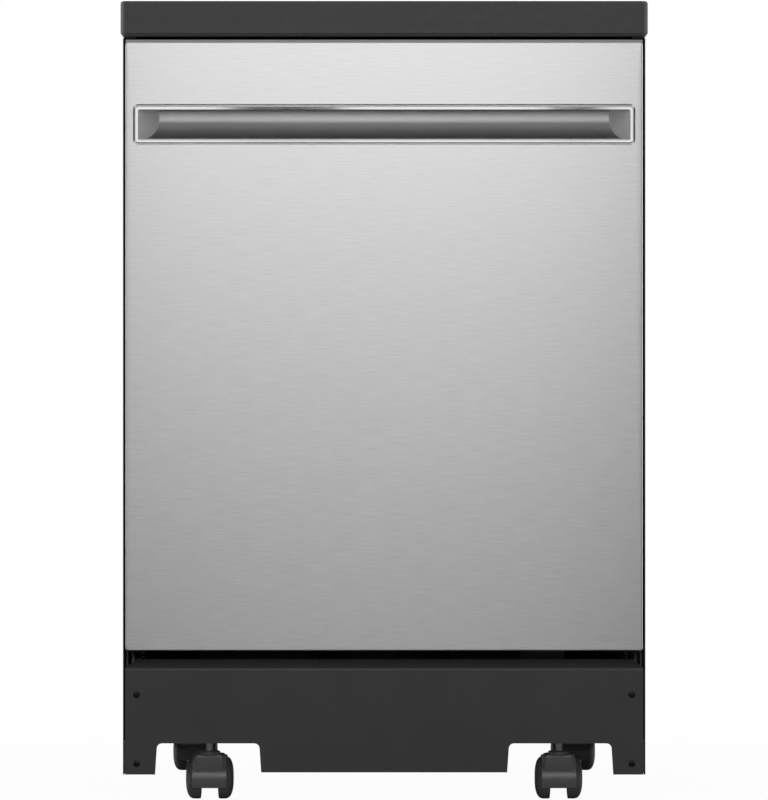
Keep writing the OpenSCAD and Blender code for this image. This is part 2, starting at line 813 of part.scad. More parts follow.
module control_console() {
    wall = console_wall;
    hole_l = button_l + 2 * slide_gap;
    hole_w = button_w + 2 * slide_gap;
    color("black") difference() {
        block([-console_x, skin_in, console_z0], [console_x, liner_front, console_z1]);
        block([-console_x + wall, skin_in + wall, console_z0 - 1],
            [console_x - wall, liner_front - wall, console_z1 - wall]);
        for (x = concat(button_xs, [power_x])) block(
            [x - hole_l / 2, button_y - hole_w / 2, console_z1 - wall - 1],
            [x + hole_l / 2, button_y + hole_w / 2, console_z1 + 1]);
        block([-latch_half - 0.2, liner_front - wall - 1, console_z0 - 1],
            [latch_half + 0.2, liner_front + 1, console_z1 - wall]);
    }
}

power_x = -4.2 * button_pitch;

// Cap with a flange under the console's top that keeps it in
module button(x) {
    foot = 1.5;
    top = console_z1 + 1.3;
    flange_z = console_z1 - console_wall - seat_gap;
    color("dimgray") {
        block([x - button_l / 2, button_y - button_w / 2, flange_z - foot], [x + button_l / 2, button_y + button_w / 2, top]);
        block([x - button_l / 2 - 2, button_y - button_w / 2 - 2, flange_z - foot],
            [x + button_l / 2 + 2, button_y + button_w / 2 + 2, flange_z]);
    }
}

module button_power() button(power_x);
module button_cycle() button(button_xs[0]);
module button_heat() button(button_xs[1]);
module button_delay() button(button_xs[2]);
module button_start() button(button_xs[3]);

// Circuit board with a switch under each button
module control_board() {
    t = 1.6;
    z = console_z0 + 1.5;
    switch_z = console_z1 - console_wall - seat_gap - 1.5 - button_travel - 0.3;
    color("green") both_sides() block([latch_half + 4, skin_in + console_wall, z],
        [console_x - console_wall, liner_front - console_wall, z + t]);
    color("white") for (x = concat(button_xs, [power_x]))
        block([x - 3, button_y - 3, z + t], [x + 3, button_y + 3, switch_z]);
}

// ---------------------------------------------------------------- latch

latch_pin_y = liner_y - 28;
latch_pin_z = latch_z + 9;
latch_pin_d = 4;

module latch_housing() {
    y0 = liner_y - 38;
    z0 = latch_z - 8;
    z1 = console_z1 - console_wall - 0.2;
    cavity = 14;
    color("gray") {
        difference() {
            block([-latch_half, y0, z0], [latch_half, liner_front, z1]);
            block([-cavity, y0 + 3, z0 + 4], [cavity, liner_front + 1, z1 - 1.4]);
        }
        rod_x(-cavity - 1, cavity + 1, latch_pin_y, latch_pin_z, latch_pin_d);
    }
}

// Hook drawn released, clear of the strike
module latch_hook() {
    half = 5;
    arm = 3;
    nose_y = strike_y + 4.6;
    color("silver") difference() {
        union() {
            rod_x(-half, half, latch_pin_y, latch_pin_z, latch_pin_d + 4);
            block([-half, latch_pin_y, latch_pin_z - arm / 2], [half, nose_y + 4, latch_pin_z + arm / 2]);
            block([-half, nose_y, latch_z + 5.2], [half, nose_y + 4, latch_pin_z]);
        }
        rod_x(-half - 1, half + 1, latch_pin_y, latch_pin_z, latch_pin_d + 2 * pin_play);
    }
}

// ---------------------------------------------------------------- dispenser

cap_d = 40;
cap_x = 50;
cap_z = disp_z + 26;
lid_t = 2.5;

module dispenser_body() {
    x = disp_w / 2;
    z1 = disp_z + disp_h;
    rail = 2;
    lid_z0 = cup_z - 4;
    lid_z1 = cup_z + cup_w + 4;
    color("lightgray") {
        difference() {
            union() {
                block([-x, liner_y, disp_z], [x, disp_face, z1]);
                block([-x + 4, liner_y - 34, disp_z + 4], [x - 4, liner_y + 1, z1 - 4]);
            }
            block([cup_x, liner_y - 26, cup_z], [cup_x + cup_w, disp_face + 1, cup_z + cup_w]);
            rod_y(liner_y - 20, disp_face + 1, cap_x, cap_z, cap_d - 12);
        }
        for (z = [lid_z0 - rail - slide_gap, lid_z1 + slide_gap])
            block([cup_x - 92, disp_face - 0.5, z], [cup_x + cup_w + 8, disp_face + lid_t + 1, z + rail]);
    }
}

// Flat lid that slides sideways off the detergent cup
module dispenser_lid() {
    color("gray") {
        block([cup_x - 5, disp_face + seat_gap, cup_z - 4], [cup_x + cup_w + 5, disp_face + seat_gap + lid_t, cup_z + cup_w + 4]);
        for (i = [0:2]) block([cup_x + cup_w / 2 - 12, disp_face + lid_t, cup_z + cup_w / 2 - 11 + i * 9],
            [cup_x + cup_w / 2 + 12, disp_face + lid_t + 2, cup_z + cup_w / 2 - 8 + i * 9]);
    }
}

// Quarter-turn cap on the rinse aid tank
module rinse_cap() {
    color("dimgray") {
        rod_y(disp_face + seat_gap, disp_face + 3, cap_x, cap_z, cap_d);
        rod_y(disp_face - 12, disp_face + 1, cap_x, cap_z, cap_d - 12 - 1);
        block([cap_x - cap_d / 2 + 5, disp_face + 2, cap_z - 2], [cap_x + cap_d / 2 - 5, disp_face + 5, cap_z + 2]);
    }
}

// ---------------------------------------------------------------- washing parts

heater_r = well_w / 2 - 71;
heater_d = 7;
heater_z = well_z + tub_wall + 8;
heater_gap = 26;
heater_back = arm_y + sqrt(heater_r * heater_r - heater_gap * heater_gap);
float_x = well_w / 2 - 31;
float_y = well_y0 + 34;
pin_top_z = lower_arm_z + arm_t + 1;

module sump() {
    r = sump_d / 2;
    w = sump_wall;
    color("dimgray") difference() {
        union() {
            rod_z(sump_z1 - 4, sump_z1, 0, 0, sump_d + 14);
            rod_z(sump_z0, sump_z1 - 3, 0, 0, sump_d - 12);
            rod_z(sump_z0, lower_arm_z - 8, 0, arm_y, 30);
        }
        difference() {
            rod_z(sump_z0 + w, sump_z1 + 1, 0, 0, sump_d - 12 - 2 * w);
            rod_z(sump_z0 - 1, sump_z1 + 2, 0, arm_y, 30);
        }
        rod_z(sump_z0 + w, lower_arm_z - 2, 0, arm_y, 20);
        rod_x(-r, -r / 2, 0, pump_z, 30);
        rod_x(r / 2, r, 0, pump_z, 20);
    }
    color("dimgray") difference() {
        rod_z(lower_arm_z - 8, pin_top_z, 0, arm_y, arm_pin_d);
        rod_z(lower_arm_z - 9, pin_top_z + 1, 0, arm_y, arm_pin_d - 4);
    }
    color("dimgray") difference() {
        rod_z(lower_arm_z - 8.5, lower_arm_z - 6, 0, arm_y, 30);
        rod_z(lower_arm_z - 9, lower_arm_z - 5, 0, arm_y, arm_pin_d - 4);
    }
}

// Flat screen with the lift-out cup
module filter() {
    cup_y = -38;
    cup_d = 62;
    plate_z = well_z + tub_wall;
    color("silver") difference() {
        union() {
            rod_z(plate_z, plate_z + 1.5, 0, 0, sump_d - 4);
            rod_z(sump_z0 + 12, plate_z + 9, 0, cup_y, cup_d);
        }
        rod_z(sump_z0 + 14, plate_z + 10, 0, cup_y, cup_d - 4);
        rod_z(plate_z - 1, plate_z + 2, 0, arm_y, 31);
    }
    color("dimgray") block([-cup_d / 2 + 1, cup_y - 2, plate_z + 2], [cup_d / 2 - 1, cup_y + 2, plate_z + 8]);
}

// Volute and wash motor, on rubber feet in the drip tray
module circulation_pump() {
    x1 = -pump_x;
    x0 = x1 - volute_l;
    z = pump_z;
    foot_z = frame_top + 2;
    color("dimgray") {
        difference() {
            rod_x(x0, x1, 0, z, volute_d);
            rod_x(x0 + 6, x1 - 6, 0, z, volute_d - 12);
            rod_x(x1 - 7, x1 + 1, 0, z, 24);
            rod_x(x0 - 1, x0 + 7, 0, z, shaft_d + 2 * pin_play);
        }
        difference() {
            rod_x(x1 - 1, -sump_d / 2 + 6, 0, z, 30);
            rod_x(x1 - 2, -sump_d / 2 + 10, 0, z, 24);
            rod_z(sump_z0 - 1, sump_z1, 0, 0, sump_d - 12);
        }
    }
    color("slategray") {
        difference() {
            rod_x(x0 - motor_l, x0, 0, z, motor_d);
            rod_x(x0 - 20, x0 + 1, 0, z, shaft_d + 2 * pin_play);
        }
        block([x0 - motor_l + 14, -22, foot_z], [x0 - motor_l + 30, 22, z - motor_d / 2 + 6]);
        block([x0 - 26, -22, foot_z], [x0 - 10, 22, z - motor_d / 2 + 6]);
    }
}

shaft_d = 8;

module pump_impeller() {
    x1 = -pump_x - 8;
    z = pump_z;
    d = volute_d - 18;
    color("black") {
        rod_x(x1 - 4, x1 - 1, 0, z, d);
        rod_x(x1 - 40, x1 - 2, 0, z, shaft_d);
        for (a = [0:60:300]) translate([0, 0, z]) rotate([a, 0, 0]) block([x1 - 16, 6, -1.2], [x1 - 3.5, d / 2 - 2, 1.2]);
        difference() {
            rod_x(x1 - 19, x1 - 15.5, 0, z, d);
            rod_x(x1 - 20, x1 - 15, 0, z, shaft_d - 1);
        }
    }
}

module drain_pump() {
    x0 = pump_x - 4;
    z = pump_z;
    color("slategray") {
        difference() {
            rod_x(sump_d / 2 - 5, x0 + 12, 0, z, 26);
            rod_x(sump_d / 2 - 8, x0 + 13, 0, z, 20);
            rod_z(sump_z0 - 1, sump_z1, 0, 0, sump_d - 12);
        }
        difference() {
            rod_x(x0 + 12, x0 + 40, 0, z, drain_pump_d);
            rod_x(x0 + 15, x0 + 37, 0, z, drain_pump_d - 6);
            rod_x(x0 + 11, x0 + 16, 0, z, 20);
        }
        rod_x(x0 + 40, x0 + 78, 0, z, drain_pump_d - 8);
        rod_x(x0 + 18, x0 + 37, 0, z, 8);
        block([x0 + 44, -12, frame_top + 2], [x0 + 60, 12, z - drain_pump_d / 2 + 8]);
    }
}

// Solenoid valve behind the fill thread
module inlet_valve() {
    y1 = back_in - sheet_t - post_wall;
    color("slategray") {
        rod_y(y1 - 46, back_in + 1, fill_x, conn_z, fill_d - 6.6);
        block([fill_x - 20, y1 - 62, conn_z - 18], [fill_x + 20, y1 - 30, conn_z + 18]);
        block([fill_x - 15, y1 - 58, frame_top], [fill_x + 15, y1 - 34, conn_z - 17]);
        rod_z(conn_z + 17, conn_z + 52, fill_x, y1 - 46, 30);
    }
}

// Open loop round the sump, with its ends through the tub floor
module heating_element() {
    color("gray") {
        difference() {
            translate([0, arm_y, heater_z]) rotate_extrude() translate([heater_r, 0]) circle(d = heater_d, $fn = 24);
            block([-heater_gap, arm_y, heater_z - 10], [heater_gap, arm_y + heater_r + 10, heater_z + 10]);
        }
        both_sides() {
            rod_z(well_z - 14, heater_z, heater_gap, heater_back, heater_d);
            translate([heater_gap, heater_back, heater_z]) sphere(d = heater_d + 0.4);
        }
        for (a = [200, 340]) translate([heater_r * cos(a), arm_y + heater_r * sin(a), 0])
            block([-4, -4, well_z + tub_wall], [4, 4, heater_z]);
    }
}

feed_y1 = well_y1 - 2;
feed_t = 14;

// Flat duct up the back wall to the roof, with the top spray head at its end
module water_feed_tube() {
    w = 15;
    z0 = well_z + tub_wall;
    top = tub_top - tub_wall - 10;
    head_d = 52;
    dock_z = upper_floor_z - 12;
    dock_y = upper_rack_y1 + 20;
    color("lightgray") {
        block([-w, sump_d / 2 + 2, z0], [w, feed_y1, z0 + 12]);
        block([-w, feed_y1 - feed_t, z0], [w, feed_y1, top]);
        block([-w, 0, top - 12], [w, feed_y1, top]);
        rod_z(top - 24, top, 0, 0, head_d);
        rod_z(top - 30, top - 23, 0, 0, head_d - 18);
        rod_y(dock_y, feed_y1 - feed_t + 1, 0, dock_z, 34);
        for (y = [30, 190]) block([-w - 6, y, top - 1], [w + 6, y + 12, tub_top - tub_wall]);
    }
}

// Fixed channels on the tub walls that the upper rack glides in
module rack_rails() {
    y0 = tub_front + 22;
    y1 = tub_back - 20;
    color("silver") both_sides() {
        block([tub_in_x - rail_t, y0, rail_z], [tub_in_x, y1, rail_z + rail_h]);
        block([rail_x, y0, rail_z], [tub_in_x, y1, rail_z + rail_t]);
        block([rail_x, y0, rail_z + rail_h - rail_t], [tub_in_x, y1, rail_z + rail_h]);
    }
}

// Fill thread, drain spigot and the terminal box with its cord gland
module rear_connections() {
    y1 = back_in;
    box_w = 76;
    color("lightgray") difference() {
        union() {
            rod_y(back_in, conn_end, fill_x, conn_z, fill_d);
            rod_y(back_in - 3, back_in, fill_x, conn_z, fill_d + 14);
        }
        rod_y(back_in - 4, conn_end + 1, fill_x, conn_z, fill_d - 6.4);
    }
    color("dimgray") difference() {
        union() {
            rod_y(back_in - 30, conn_end, drain_x, conn_z, drain_d);
            rod_y(back_in - 3, back_in, drain_x, conn_z, drain_d + 14);
        }
        rod_y(back_in - 31, conn_end + 1, drain_x, conn_z, drain_d - 5);
    }
    color("gray") difference() {
        block([gland_x - box_w / 2, y1 - 55, frame_top], [gland_x + box_w / 2, y1 - sheet_t - post_wall - 0.2, conn_z + 30]);
        block([gland_x - box_w / 2 + 1.2, y1 - 53.8, frame_top + 1.2],
            [gland_x + box_w / 2 - 1.2, y1 - sheet_t - post_wall - 1.4, conn_z + 28.8]);
        rod_y(y1 - 6, y1 + 1, gland_x, conn_z, gland_bore_d + 7.2);
    }
    color("black") difference() {
        union() {
            rod_y(y1 - 14, conn_end, gland_x, conn_z, gland_bore_d + 7);
            rod_y(back_y, conn_end - 1.5, gland_x, conn_z, gland_bore_d + 15);
        }
        rod_y(y1 - 15, conn_end + 1, gland_x, conn_z, gland_bore_d);
    }
}

// Float that rises with the water and stops the fill
module float_dome() {
    z0 = well_z + tub_wall + seat_gap;
    d = 38;
    h = 34;
    color("lightgray") {
        difference() {
            rod_z(z0, z0 + h, float_x, float_y, d);
            rod_z(z0 - 1, z0 + h - 2.5, float_x, float_y, d - 5);
        }
        rod_z(well_z - 22, z0 + h - 1, float_x, float_y, 6);
    }
}

// ---------------------------------------------------------------- racks

// Flat bar bent into a tray section, drawn across X at one y
module wire_across(y, x, z0, z1) {
    t = wire_t;
    along_y(y - t / 2, y + t / 2) polygon([
        [-x, z0], [x, z0], [x, z1], [x - t, z1], [x - t, z0 + t], [t - x, z0 + t], [t - x, z1], [-x, z1]]);
}

// The same bar along Y at one x
module wire_along(x, y0, y1, z0, z1) {
    t = wire_t;
    along_x(x - t / 2, x + t / 2) polygon([
        [y0, z0], [y1, z0], [y1, z1], [y1 - t, z1], [y1 - t, z0 + t], [y0 + t, z0 + t], [y0 + t, z1], [y0, z1]]);
}

// Open wire tray with a heavier rim
module rack_tray(y0, y1, z0, h) {
    t = wire_t;
    x = rack_x;
    step_y = (y1 - y0 - 40) / (rack_wires - 1);
    step_x = (2 * x - 60) / (rack_wires - 1);
    rim = t + 2;
    for (i = [0:rack_wires - 1]) {
        wire_across(y0 + 20 + i * step_y, x, z0, z0 + h - 1);
        wire_along(-x + 30 + i * step_x, y0, y1, z0 - t + 1, z0 + h - 1);
    }
    difference() {
        block([-x - 1, y0 - 1, z0 + h - rim], [x + 1, y1 + 1, z0 + h]);
        block([-x + t, y0 + t, z0 + h - rim - 1], [x - t, y1 - t, z0 + h + 1]);
    }
}

// Upright tines along one wire
module tine_row(x, y0, y1, z0, h) {
    t = wire_t - 0.5;
    for (y = [y0:tine_pitch:y1]) block([x - t / 2, y - t / 2, z0], [x + t / 2, y + t / 2, z0 + h]);
}

lower_step_x = wire_step;

module lower_rack() {
    z = lower_floor_z;
    clip = 8;
    x1 = -rack_x + 30 + lower_step_x;
    x2 = x1 + 2 * lower_step_x;
    color("lightgray") {
        difference() {
            union() {
                rack_tray(lower_rack_y0, lower_rack_y1, z, lower_rack_h);
                for (x = [x1, x2]) tine_row(x, lower_rack_y0 + 42, lower_rack_y1 - 42, z - 1, tine_h);
                both_sides() for (y = roller_ys) block([rack_x - wire_t, y - 24, roller_z - 9], [rack_x, y + 24, z + wire_t]);
                for (y = [fold_y0, fold_y1]) block([fold_x - 5, y - clip / 2, z - 1], [fold_x + 5, y + clip / 2, fold_z + 5]);
            }
            rod_y(fold_y0 - clip, fold_y1 + clip, fold_x, fold_z, wire_t + 2 * pin_play);
        }
        both_sides() for (y = roller_ys) rod_x(rack_x - 1, roller_x + roller_w + 1, y, roller_z, roller_pin_d);
    }
}

// A pair of rollers that share one axis
module rack_rollers(y) {
    color("gray") both_sides() difference() {
        rod_x(roller_x, roller_x + roller_w, y, roller_z, roller_d);
        rod_x(roller_x - 1, roller_x + roller_w + 1, y, roller_z, roller_pin_d + 2 * pin_play);
        rod_x(roller_x + roller_w - 2, roller_x + roller_w + 1, y, roller_z, roller_d - 8);
    }
}

module lower_rack_rollers_front() rack_rollers(roller_ys[0]);
module lower_rack_rollers_rear() rack_rollers(roller_ys[1]);

// Plate tines on one turning rod
module fold_tines() {
    t = wire_t - 0.5;
    color("lightgray") {
        rod_y(fold_y0 - 8, fold_y1 + 8, fold_x, fold_z, wire_t);
        tine_row(fold_x, fold_y0 + 14, fold_y1 - 14, fold_z, tine_h - 10);
    }
}

basket_x0 = fold_x + 84;
basket_w = 72;
basket_l = 250;
basket_y0 = lower_rack_y0 + 60;
basket_h = 112;

// Basket with cells for cutlery and slots in its sides
module silverware_basket() {
    wall = 2.4;
    cells = 5;
    cell = (basket_l - wall) / cells;
    z = lower_floor_z + wire_t + seat_gap;
    color("lightgray") difference() {
        block([basket_x0, basket_y0, z], [basket_x0 + basket_w, basket_y0 + basket_l, z + basket_h]);
        for (i = [0:cells - 1]) {
            block([basket_x0 + wall, basket_y0 + wall + i * cell, z + wall],
                [basket_x0 + basket_w - wall, basket_y0 + (i + 1) * cell, z + basket_h + 1]);
            for (k = [0:1]) block(
                [basket_x0 - 1, basket_y0 + wall + i * cell + 8 + k * 18, z + 14],
                [basket_x0 + basket_w + 1, basket_y0 + wall + i * cell + 18 + k * 18, z + basket_h - 22]);
        }
    }
}

// Wire tray with its glides and the water manifold under it
module upper_rack() {
    z = upper_floor_z;
    gap = slide_gap;
    glide_ys = [upper_rack_y0 + 25, upper_rack_y1 - 30];
    dock_z = z - 12;
    x1 = -rack_x + 30 + 2 * lower_step_x;
    color("lightgray") {
        rack_tray(upper_rack_y0, upper_rack_y1, z, upper_rack_h);
        for (x = [x1, -x1]) tine_row(x, upper_rack_y0 + 60, upper_rack_y1 - 60, z - 1, tine_h - 26);
        both_sides() for (y = glide_ys) block([rack_x - 1, y, rail_z + rail_t + gap],
            [tub_in_x - rail_t - gap, y + 30, rail_z + rail_h - rail_t - gap]);
    }
    color("gray") {
        rod_y(0, upper_rack_y1 + 20 - seat_gap, 0, dock_z, 16);
        rod_z(dock_z - 12, dock_z + 9, 0, 0, 40);
        rod_z(upper_arm_z - 6, dock_z - 11, 0, 0, arm_pin_d);
        rod_z(upper_arm_z - 8, upper_arm_z - 5, 0, 0, 24);
    }
}

// ---------------------------------------------------------------- spray arms

// Flat hollow arm, widest at its hub, with nozzles along its upper face
module spray_arm(l, y, z, play) {
    half = l / 2;
    tip = arm_w * 0.34;
    wall = 2;
    color("lightgray") translate([0, y, z]) difference() {
        union() {
            linear_extrude(arm_t) polygon([
                [-half, -tip], [-half + 12, -tip - 4], [0, -arm_w / 2], [half - 12, -tip - 4], [half, -tip],
                [half, tip], [half - 12, tip + 4], [0, arm_w / 2], [12 - half, tip + 4], [-half, tip]]);
            cylinder(d = 36, h = arm_t + play);
        }
        translate([0, 0, -1]) cylinder(d = arm_pin_d + 2 * pin_play, h = arm_t + play + 2);
        both_sides() translate([22, -tip + wall, wall]) cube([half - 30, 2 * tip - 2 * wall, arm_t - 2 * wall]);
        for (s = [-1, 1], i = [1:6]) translate([s * i * (half - 14) / 6, s * 6, arm_t / 2]) cylinder(d = 3.2, h = arm_t);
    }
}

module lower_spray_arm() spray_arm(lower_arm_l, arm_y, lower_arm_z - 5.7, 0);
module upper_spray_arm() spray_arm(upper_arm_l, 0, upper_arm_z - 4.7, 0);

worktop();
side_panel_left();
side_panel_right();
back_panel();
base_frame();
cabinet_frame();
base_pan();
access_panel();
access_panel_screws();
caster_stems();
caster_front_left_hood();
caster_front_left_wheels();
caster_front_right_hood();
caster_front_right_wheels();
caster_rear_left_hood();
caster_rear_left_wheels();
caster_rear_right_hood();
caster_rear_right_wheels();
tub();
tub_gasket();
sound_blanket();
hinge_brackets();
door_springs();
door_strike();
sump();
filter();
circulation_pump();
pump_impeller();
drain_pump();
inlet_valve();
heating_element();
water_feed_tube();
rack_rails();
rear_connections();
float_dome();
door_outer_panel();
door_liner();
handle_bezel();
handle_pocket();
control_console();
control_board();
door_hinge_arms();
latch_housing();
latch_hook();
dispenser_body();
dispenser_lid();
rinse_cap();
button_power();
button_cycle();
button_heat();
button_delay();
button_start();
upper_rack();
upper_spray_arm();
lower_rack();
lower_rack_rollers_front();
lower_rack_rollers_rear();
fold_tines();
silverware_basket();
lower_spray_arm();
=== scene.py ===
import math

import bmesh
import bpy
import numpy as np
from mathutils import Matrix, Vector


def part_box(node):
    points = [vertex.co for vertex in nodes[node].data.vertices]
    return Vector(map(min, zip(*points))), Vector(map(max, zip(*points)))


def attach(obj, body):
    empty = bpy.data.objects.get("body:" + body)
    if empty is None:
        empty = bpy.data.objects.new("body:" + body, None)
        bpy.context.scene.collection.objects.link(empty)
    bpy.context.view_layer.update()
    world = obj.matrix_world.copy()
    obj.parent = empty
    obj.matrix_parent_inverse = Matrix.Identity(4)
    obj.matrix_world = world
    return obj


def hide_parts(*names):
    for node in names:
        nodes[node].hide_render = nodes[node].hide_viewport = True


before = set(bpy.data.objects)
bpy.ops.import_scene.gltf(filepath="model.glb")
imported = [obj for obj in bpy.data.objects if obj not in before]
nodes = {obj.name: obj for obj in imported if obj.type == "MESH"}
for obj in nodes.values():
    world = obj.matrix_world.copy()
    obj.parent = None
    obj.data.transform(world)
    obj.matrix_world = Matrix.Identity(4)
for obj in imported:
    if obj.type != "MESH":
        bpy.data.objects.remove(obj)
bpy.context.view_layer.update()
scene = bpy.context.scene
scene.view_settings.view_transform = "Standard"


# ------------------------------------------------------------------ studio
# The machine stands on a white sweep and is taken square to its front with a long lens.
# Soft boxes hang high in front of it, so brushed steel runs from bright at the top to dull.

def linear(colour):
    """sRGB hex to linear light: c / 12.92 up to 0.04045, ((c + 0.055) / 1.055) ** 2.4 above."""
    c = np.array([int(colour[i:i + 2], 16) for i in (1, 3, 5)]) / 255
    light = np.where(c <= 0.04045, c / 12.92, ((c + 0.055) / 1.055) ** 2.4)
    return (*light.tolist(), 1.0)


def add(tree, kind, inputs=None, **settings):
    """Adds a node. Settings are its own properties; an input is linked if given a socket, else set."""
    node = tree.nodes.new(kind)
    for name, value in settings.items():
        setattr(node, name, value)
    for name, value in (inputs or {}).items():
        if isinstance(value, bpy.types.NodeSocket):
            tree.links.new(value, node.inputs[name])
        else:
            node.inputs[name].default_value = value
    return node


def box_light(name, place, size, aim, power):
    """A soft box: an area lamp of the given width and height in metres, turned to its aim."""
    lamp = bpy.data.lights.new(name, "AREA")
    lamp.shape = "RECTANGLE"
    lamp.size, lamp.size_y = size
    lamp.energy = power
    thing = bpy.data.objects.new(name, lamp)
    scene.collection.objects.link(thing)
    thing.location = place
    way = np.array(aim, float) - np.array(place, float)
    flat = math.hypot(way[0], way[1])
    thing.rotation_euler = (math.atan2(flat, -way[2]), 0, math.atan2(-way[0], way[1]))
    thing.visible_camera = False
    return thing


def bare(block):
    """Gives a new material or world an empty node tree and returns both."""
    block.use_nodes = True
    block.node_tree.nodes.clear()
    return block, block.node_tree


def sheet(name, corners, material, seen):
    """A flat piece of the studio from corners in metres, four to a face; the camera sees it or not."""
    mesh = bpy.data.meshes.new(name)
    mesh.from_pydata(corners, [], np.arange(len(corners)).reshape(-1, 4).tolist())
    mesh.materials.append(material)
    thing = bpy.data.objects.new(name, mesh)
    scene.collection.objects.link(thing)
    thing.visible_camera = seen
    return thing


# The room is white where it is seen, straight or in a mirror, and greyer and weaker as a light.
scene.world, tree = bare(bpy.data.worlds.new("studio"))
ray = add(tree, "ShaderNodeLightPath").outputs
shown = add(tree, "ShaderNodeMath", {0: ray["Is Camera Ray"], 1: ray["Is Transmission Ray"]},
            operation="MAXIMUM")
shown = add(tree, "ShaderNodeMath", {0: shown.outputs[0], 1: ray["Is Glossy Ray"]}, operation="MAXIMUM")
white = add(tree, "ShaderNodeBackground", {"Color": (1, 1, 1, 1), "Strength": 1.0})
soft = add(tree, "ShaderNodeBackground", {"Color": linear("#c9ccd0"), "Strength": 0.75})
sky = add(tree, "ShaderNodeMixShader", {0: shown.outputs[0], 1: soft.outputs[0], 2: white.outputs[0]})
add(tree, "ShaderNodeOutputWorld", {"Surface": sky.outputs[0]})

# Soft boxes as (place, width and height, aim, watts). The last one fills in shade and is never mirrored.
box_light("near", (0.0, -1.5, 1.06), (0.85, 0.3), (0.0, -0.32, 0.75), 1.2)
box_light("front", (-0.06, -4.2, 1.17), (1.45, 1.2), (0.0, -0.32, 0.45), 13.8)
box_light("left", (-2.6, 0.25, 1.1), (0.8, 1.6), (-0.1, 0.0, 0.4), 30.0)
box_light("right", (2.6, 0.25, 1.1), (0.8, 1.6), (0.1, 0.0, 0.4), 16.0)
box_light("top", (0.0, 0.2, 3.0), (2.0, 2.0), (0.0, 0.0, 0.9), 12.0)
box_light("behind", (0.0, 2.6, 1.8), (2.4, 1.2), (0.0, 0.3, 0.4), 45.0)
fill = box_light("fill", (0.0, -4.6, 1.0), (2.4, 1.6), (0.0, -0.32, 0.45), 60.0)
fill.visible_glossy = False

# Long lens, level and square to the front, with the horizon halfway up the machine.
camera = bpy.data.objects.new("camera", bpy.data.cameras.new("camera"))
scene.collection.objects.link(camera)
camera.data.sensor_fit = "VERTICAL"
camera.data.sensor_height = 36.0
camera.data.lens = 227.5
camera.location = (-0.0002, -6.15, 0.4665)
camera.rotation_euler = (math.pi / 2, 0, 0)
camera.data.clip_end = 60.0
scene.camera = camera

# White paper under the machine: it glows white to the camera, with a trace of shade close to the machine.
paper, tree = bare(bpy.data.materials.new("studio_paper"))
ray = add(tree, "ShaderNodeLightPath").outputs
shade = add(tree, "ShaderNodeBsdfDiffuse", {"Color": linear("#a8a8a8")})
bright = add(tree, "ShaderNodeEmission", {"Color": (1, 1, 1, 1), "Strength": 1.0})
place = add(tree, "ShaderNodeTexCoord").outputs["Object"]
reach = add(tree, "ShaderNodeVectorMath", {0: place}, operation="LENGTH").outputs["Value"]
fade = add(tree, "ShaderNodeMapRange", {"Value": reach, "From Min": 0.4, "From Max": 1.6,
                                        "To Min": 0.97, "To Max": 1.0})
# Reflections find the white paper too, but not where the machine keeps the light off it.
clear = add(tree, "ShaderNodeMapRange", {"Value": reach, "From Min": 0.38, "From Max": 1.1})
mirror = add(tree, "ShaderNodeMath", {0: ray["Is Glossy Ray"], 1: ray["Is Transmission Ray"]},
             operation="MAXIMUM")
mirror = add(tree, "ShaderNodeMath", {0: mirror.outputs[0], 1: clear.outputs[0]}, operation="MULTIPLY")
share = add(tree, "ShaderNodeMath", {0: ray["Is Camera Ray"], 1: fade.outputs[0]}, operation="MULTIPLY")
share = add(tree, "ShaderNodeMath", {0: share.outputs[0], 1: mirror.outputs[0]}, operation="MAXIMUM")
blend = add(tree, "ShaderNodeMixShader", {0: share.outputs[0], 1: shade.outputs[0], 2: bright.outputs[0]})
add(tree, "ShaderNodeOutputMaterial", {"Surface": blend.outputs[0]})
sheet("floor", [(-14, -14, 0), (14, -14, 0), (14, 14, 0), (-14, 14, 0)], paper, True)

# Grey wall behind the camera, so that the metal has something dull to mirror beside the soft boxes.
dark, tree = bare(bpy.data.materials.new("studio_wall"))
paint = add(tree, "ShaderNodeBsdfDiffuse", {"Color": linear("#5a5a5b")})
add(tree, "ShaderNodeOutputMaterial", {"Surface": paint.outputs[0]})
sheet("wall", [(-9, -9, -0.1), (9, -9, -0.1), (9, -9, 6), (-9, -9, 6)], dark, False)

# Black cards: two flags before the front soft box, and a sheet on the floor that only metal sees.
black, tree = bare(bpy.data.materials.new("studio_flag"))
cloth = add(tree, "ShaderNodeBsdfDiffuse", {"Color": linear("#181818")})
add(tree, "ShaderNodeOutputMaterial", {"Surface": cloth.outputs[0]})
flags = [(x, -4.05, z) for a, b in ((-0.295, -0.085), (0.315, 0.415))
         for x, z in ((a, 0.985), (b, 0.985), (b, 1.12), (a, 1.12))]
sheet("flags", flags, black, False)
spread = [(x, y, 0.002) for x, y in ((-1.4, -7.5), (1.4, -7.5), (1.4, -0.34), (-1.4, -0.34))]
card = sheet("floor_card", spread, black, False)
card.visible_diffuse = False
card.visible_shadow = False


# ----------------------------------------------------------------- worktop
# Thick top of moulded laminate over particle board, charcoal with a fine pebbled face.
# Pressed in one piece with small rounded edges, and screwed down from inside the cabinet.

def outline(x0, x1, y0, y1, r, steps=6):
    """Rounded rectangle as points (a, b): corner centre + r * (cos t, sin t), a quarter turn each."""
    turn = np.linspace(0, math.pi / 2, steps + 1)
    t = (np.arange(4)[:, None] * math.pi / 2 + turn[None]).ravel()
    a = np.repeat([x1 - r, x0 + r, x0 + r, x1 - r], steps + 1)
    b = np.repeat([y1 - r, y1 - r, y0 + r, y0 + r], steps + 1)
    return np.stack([a + r * np.cos(t), b + r * np.sin(t)], -1)


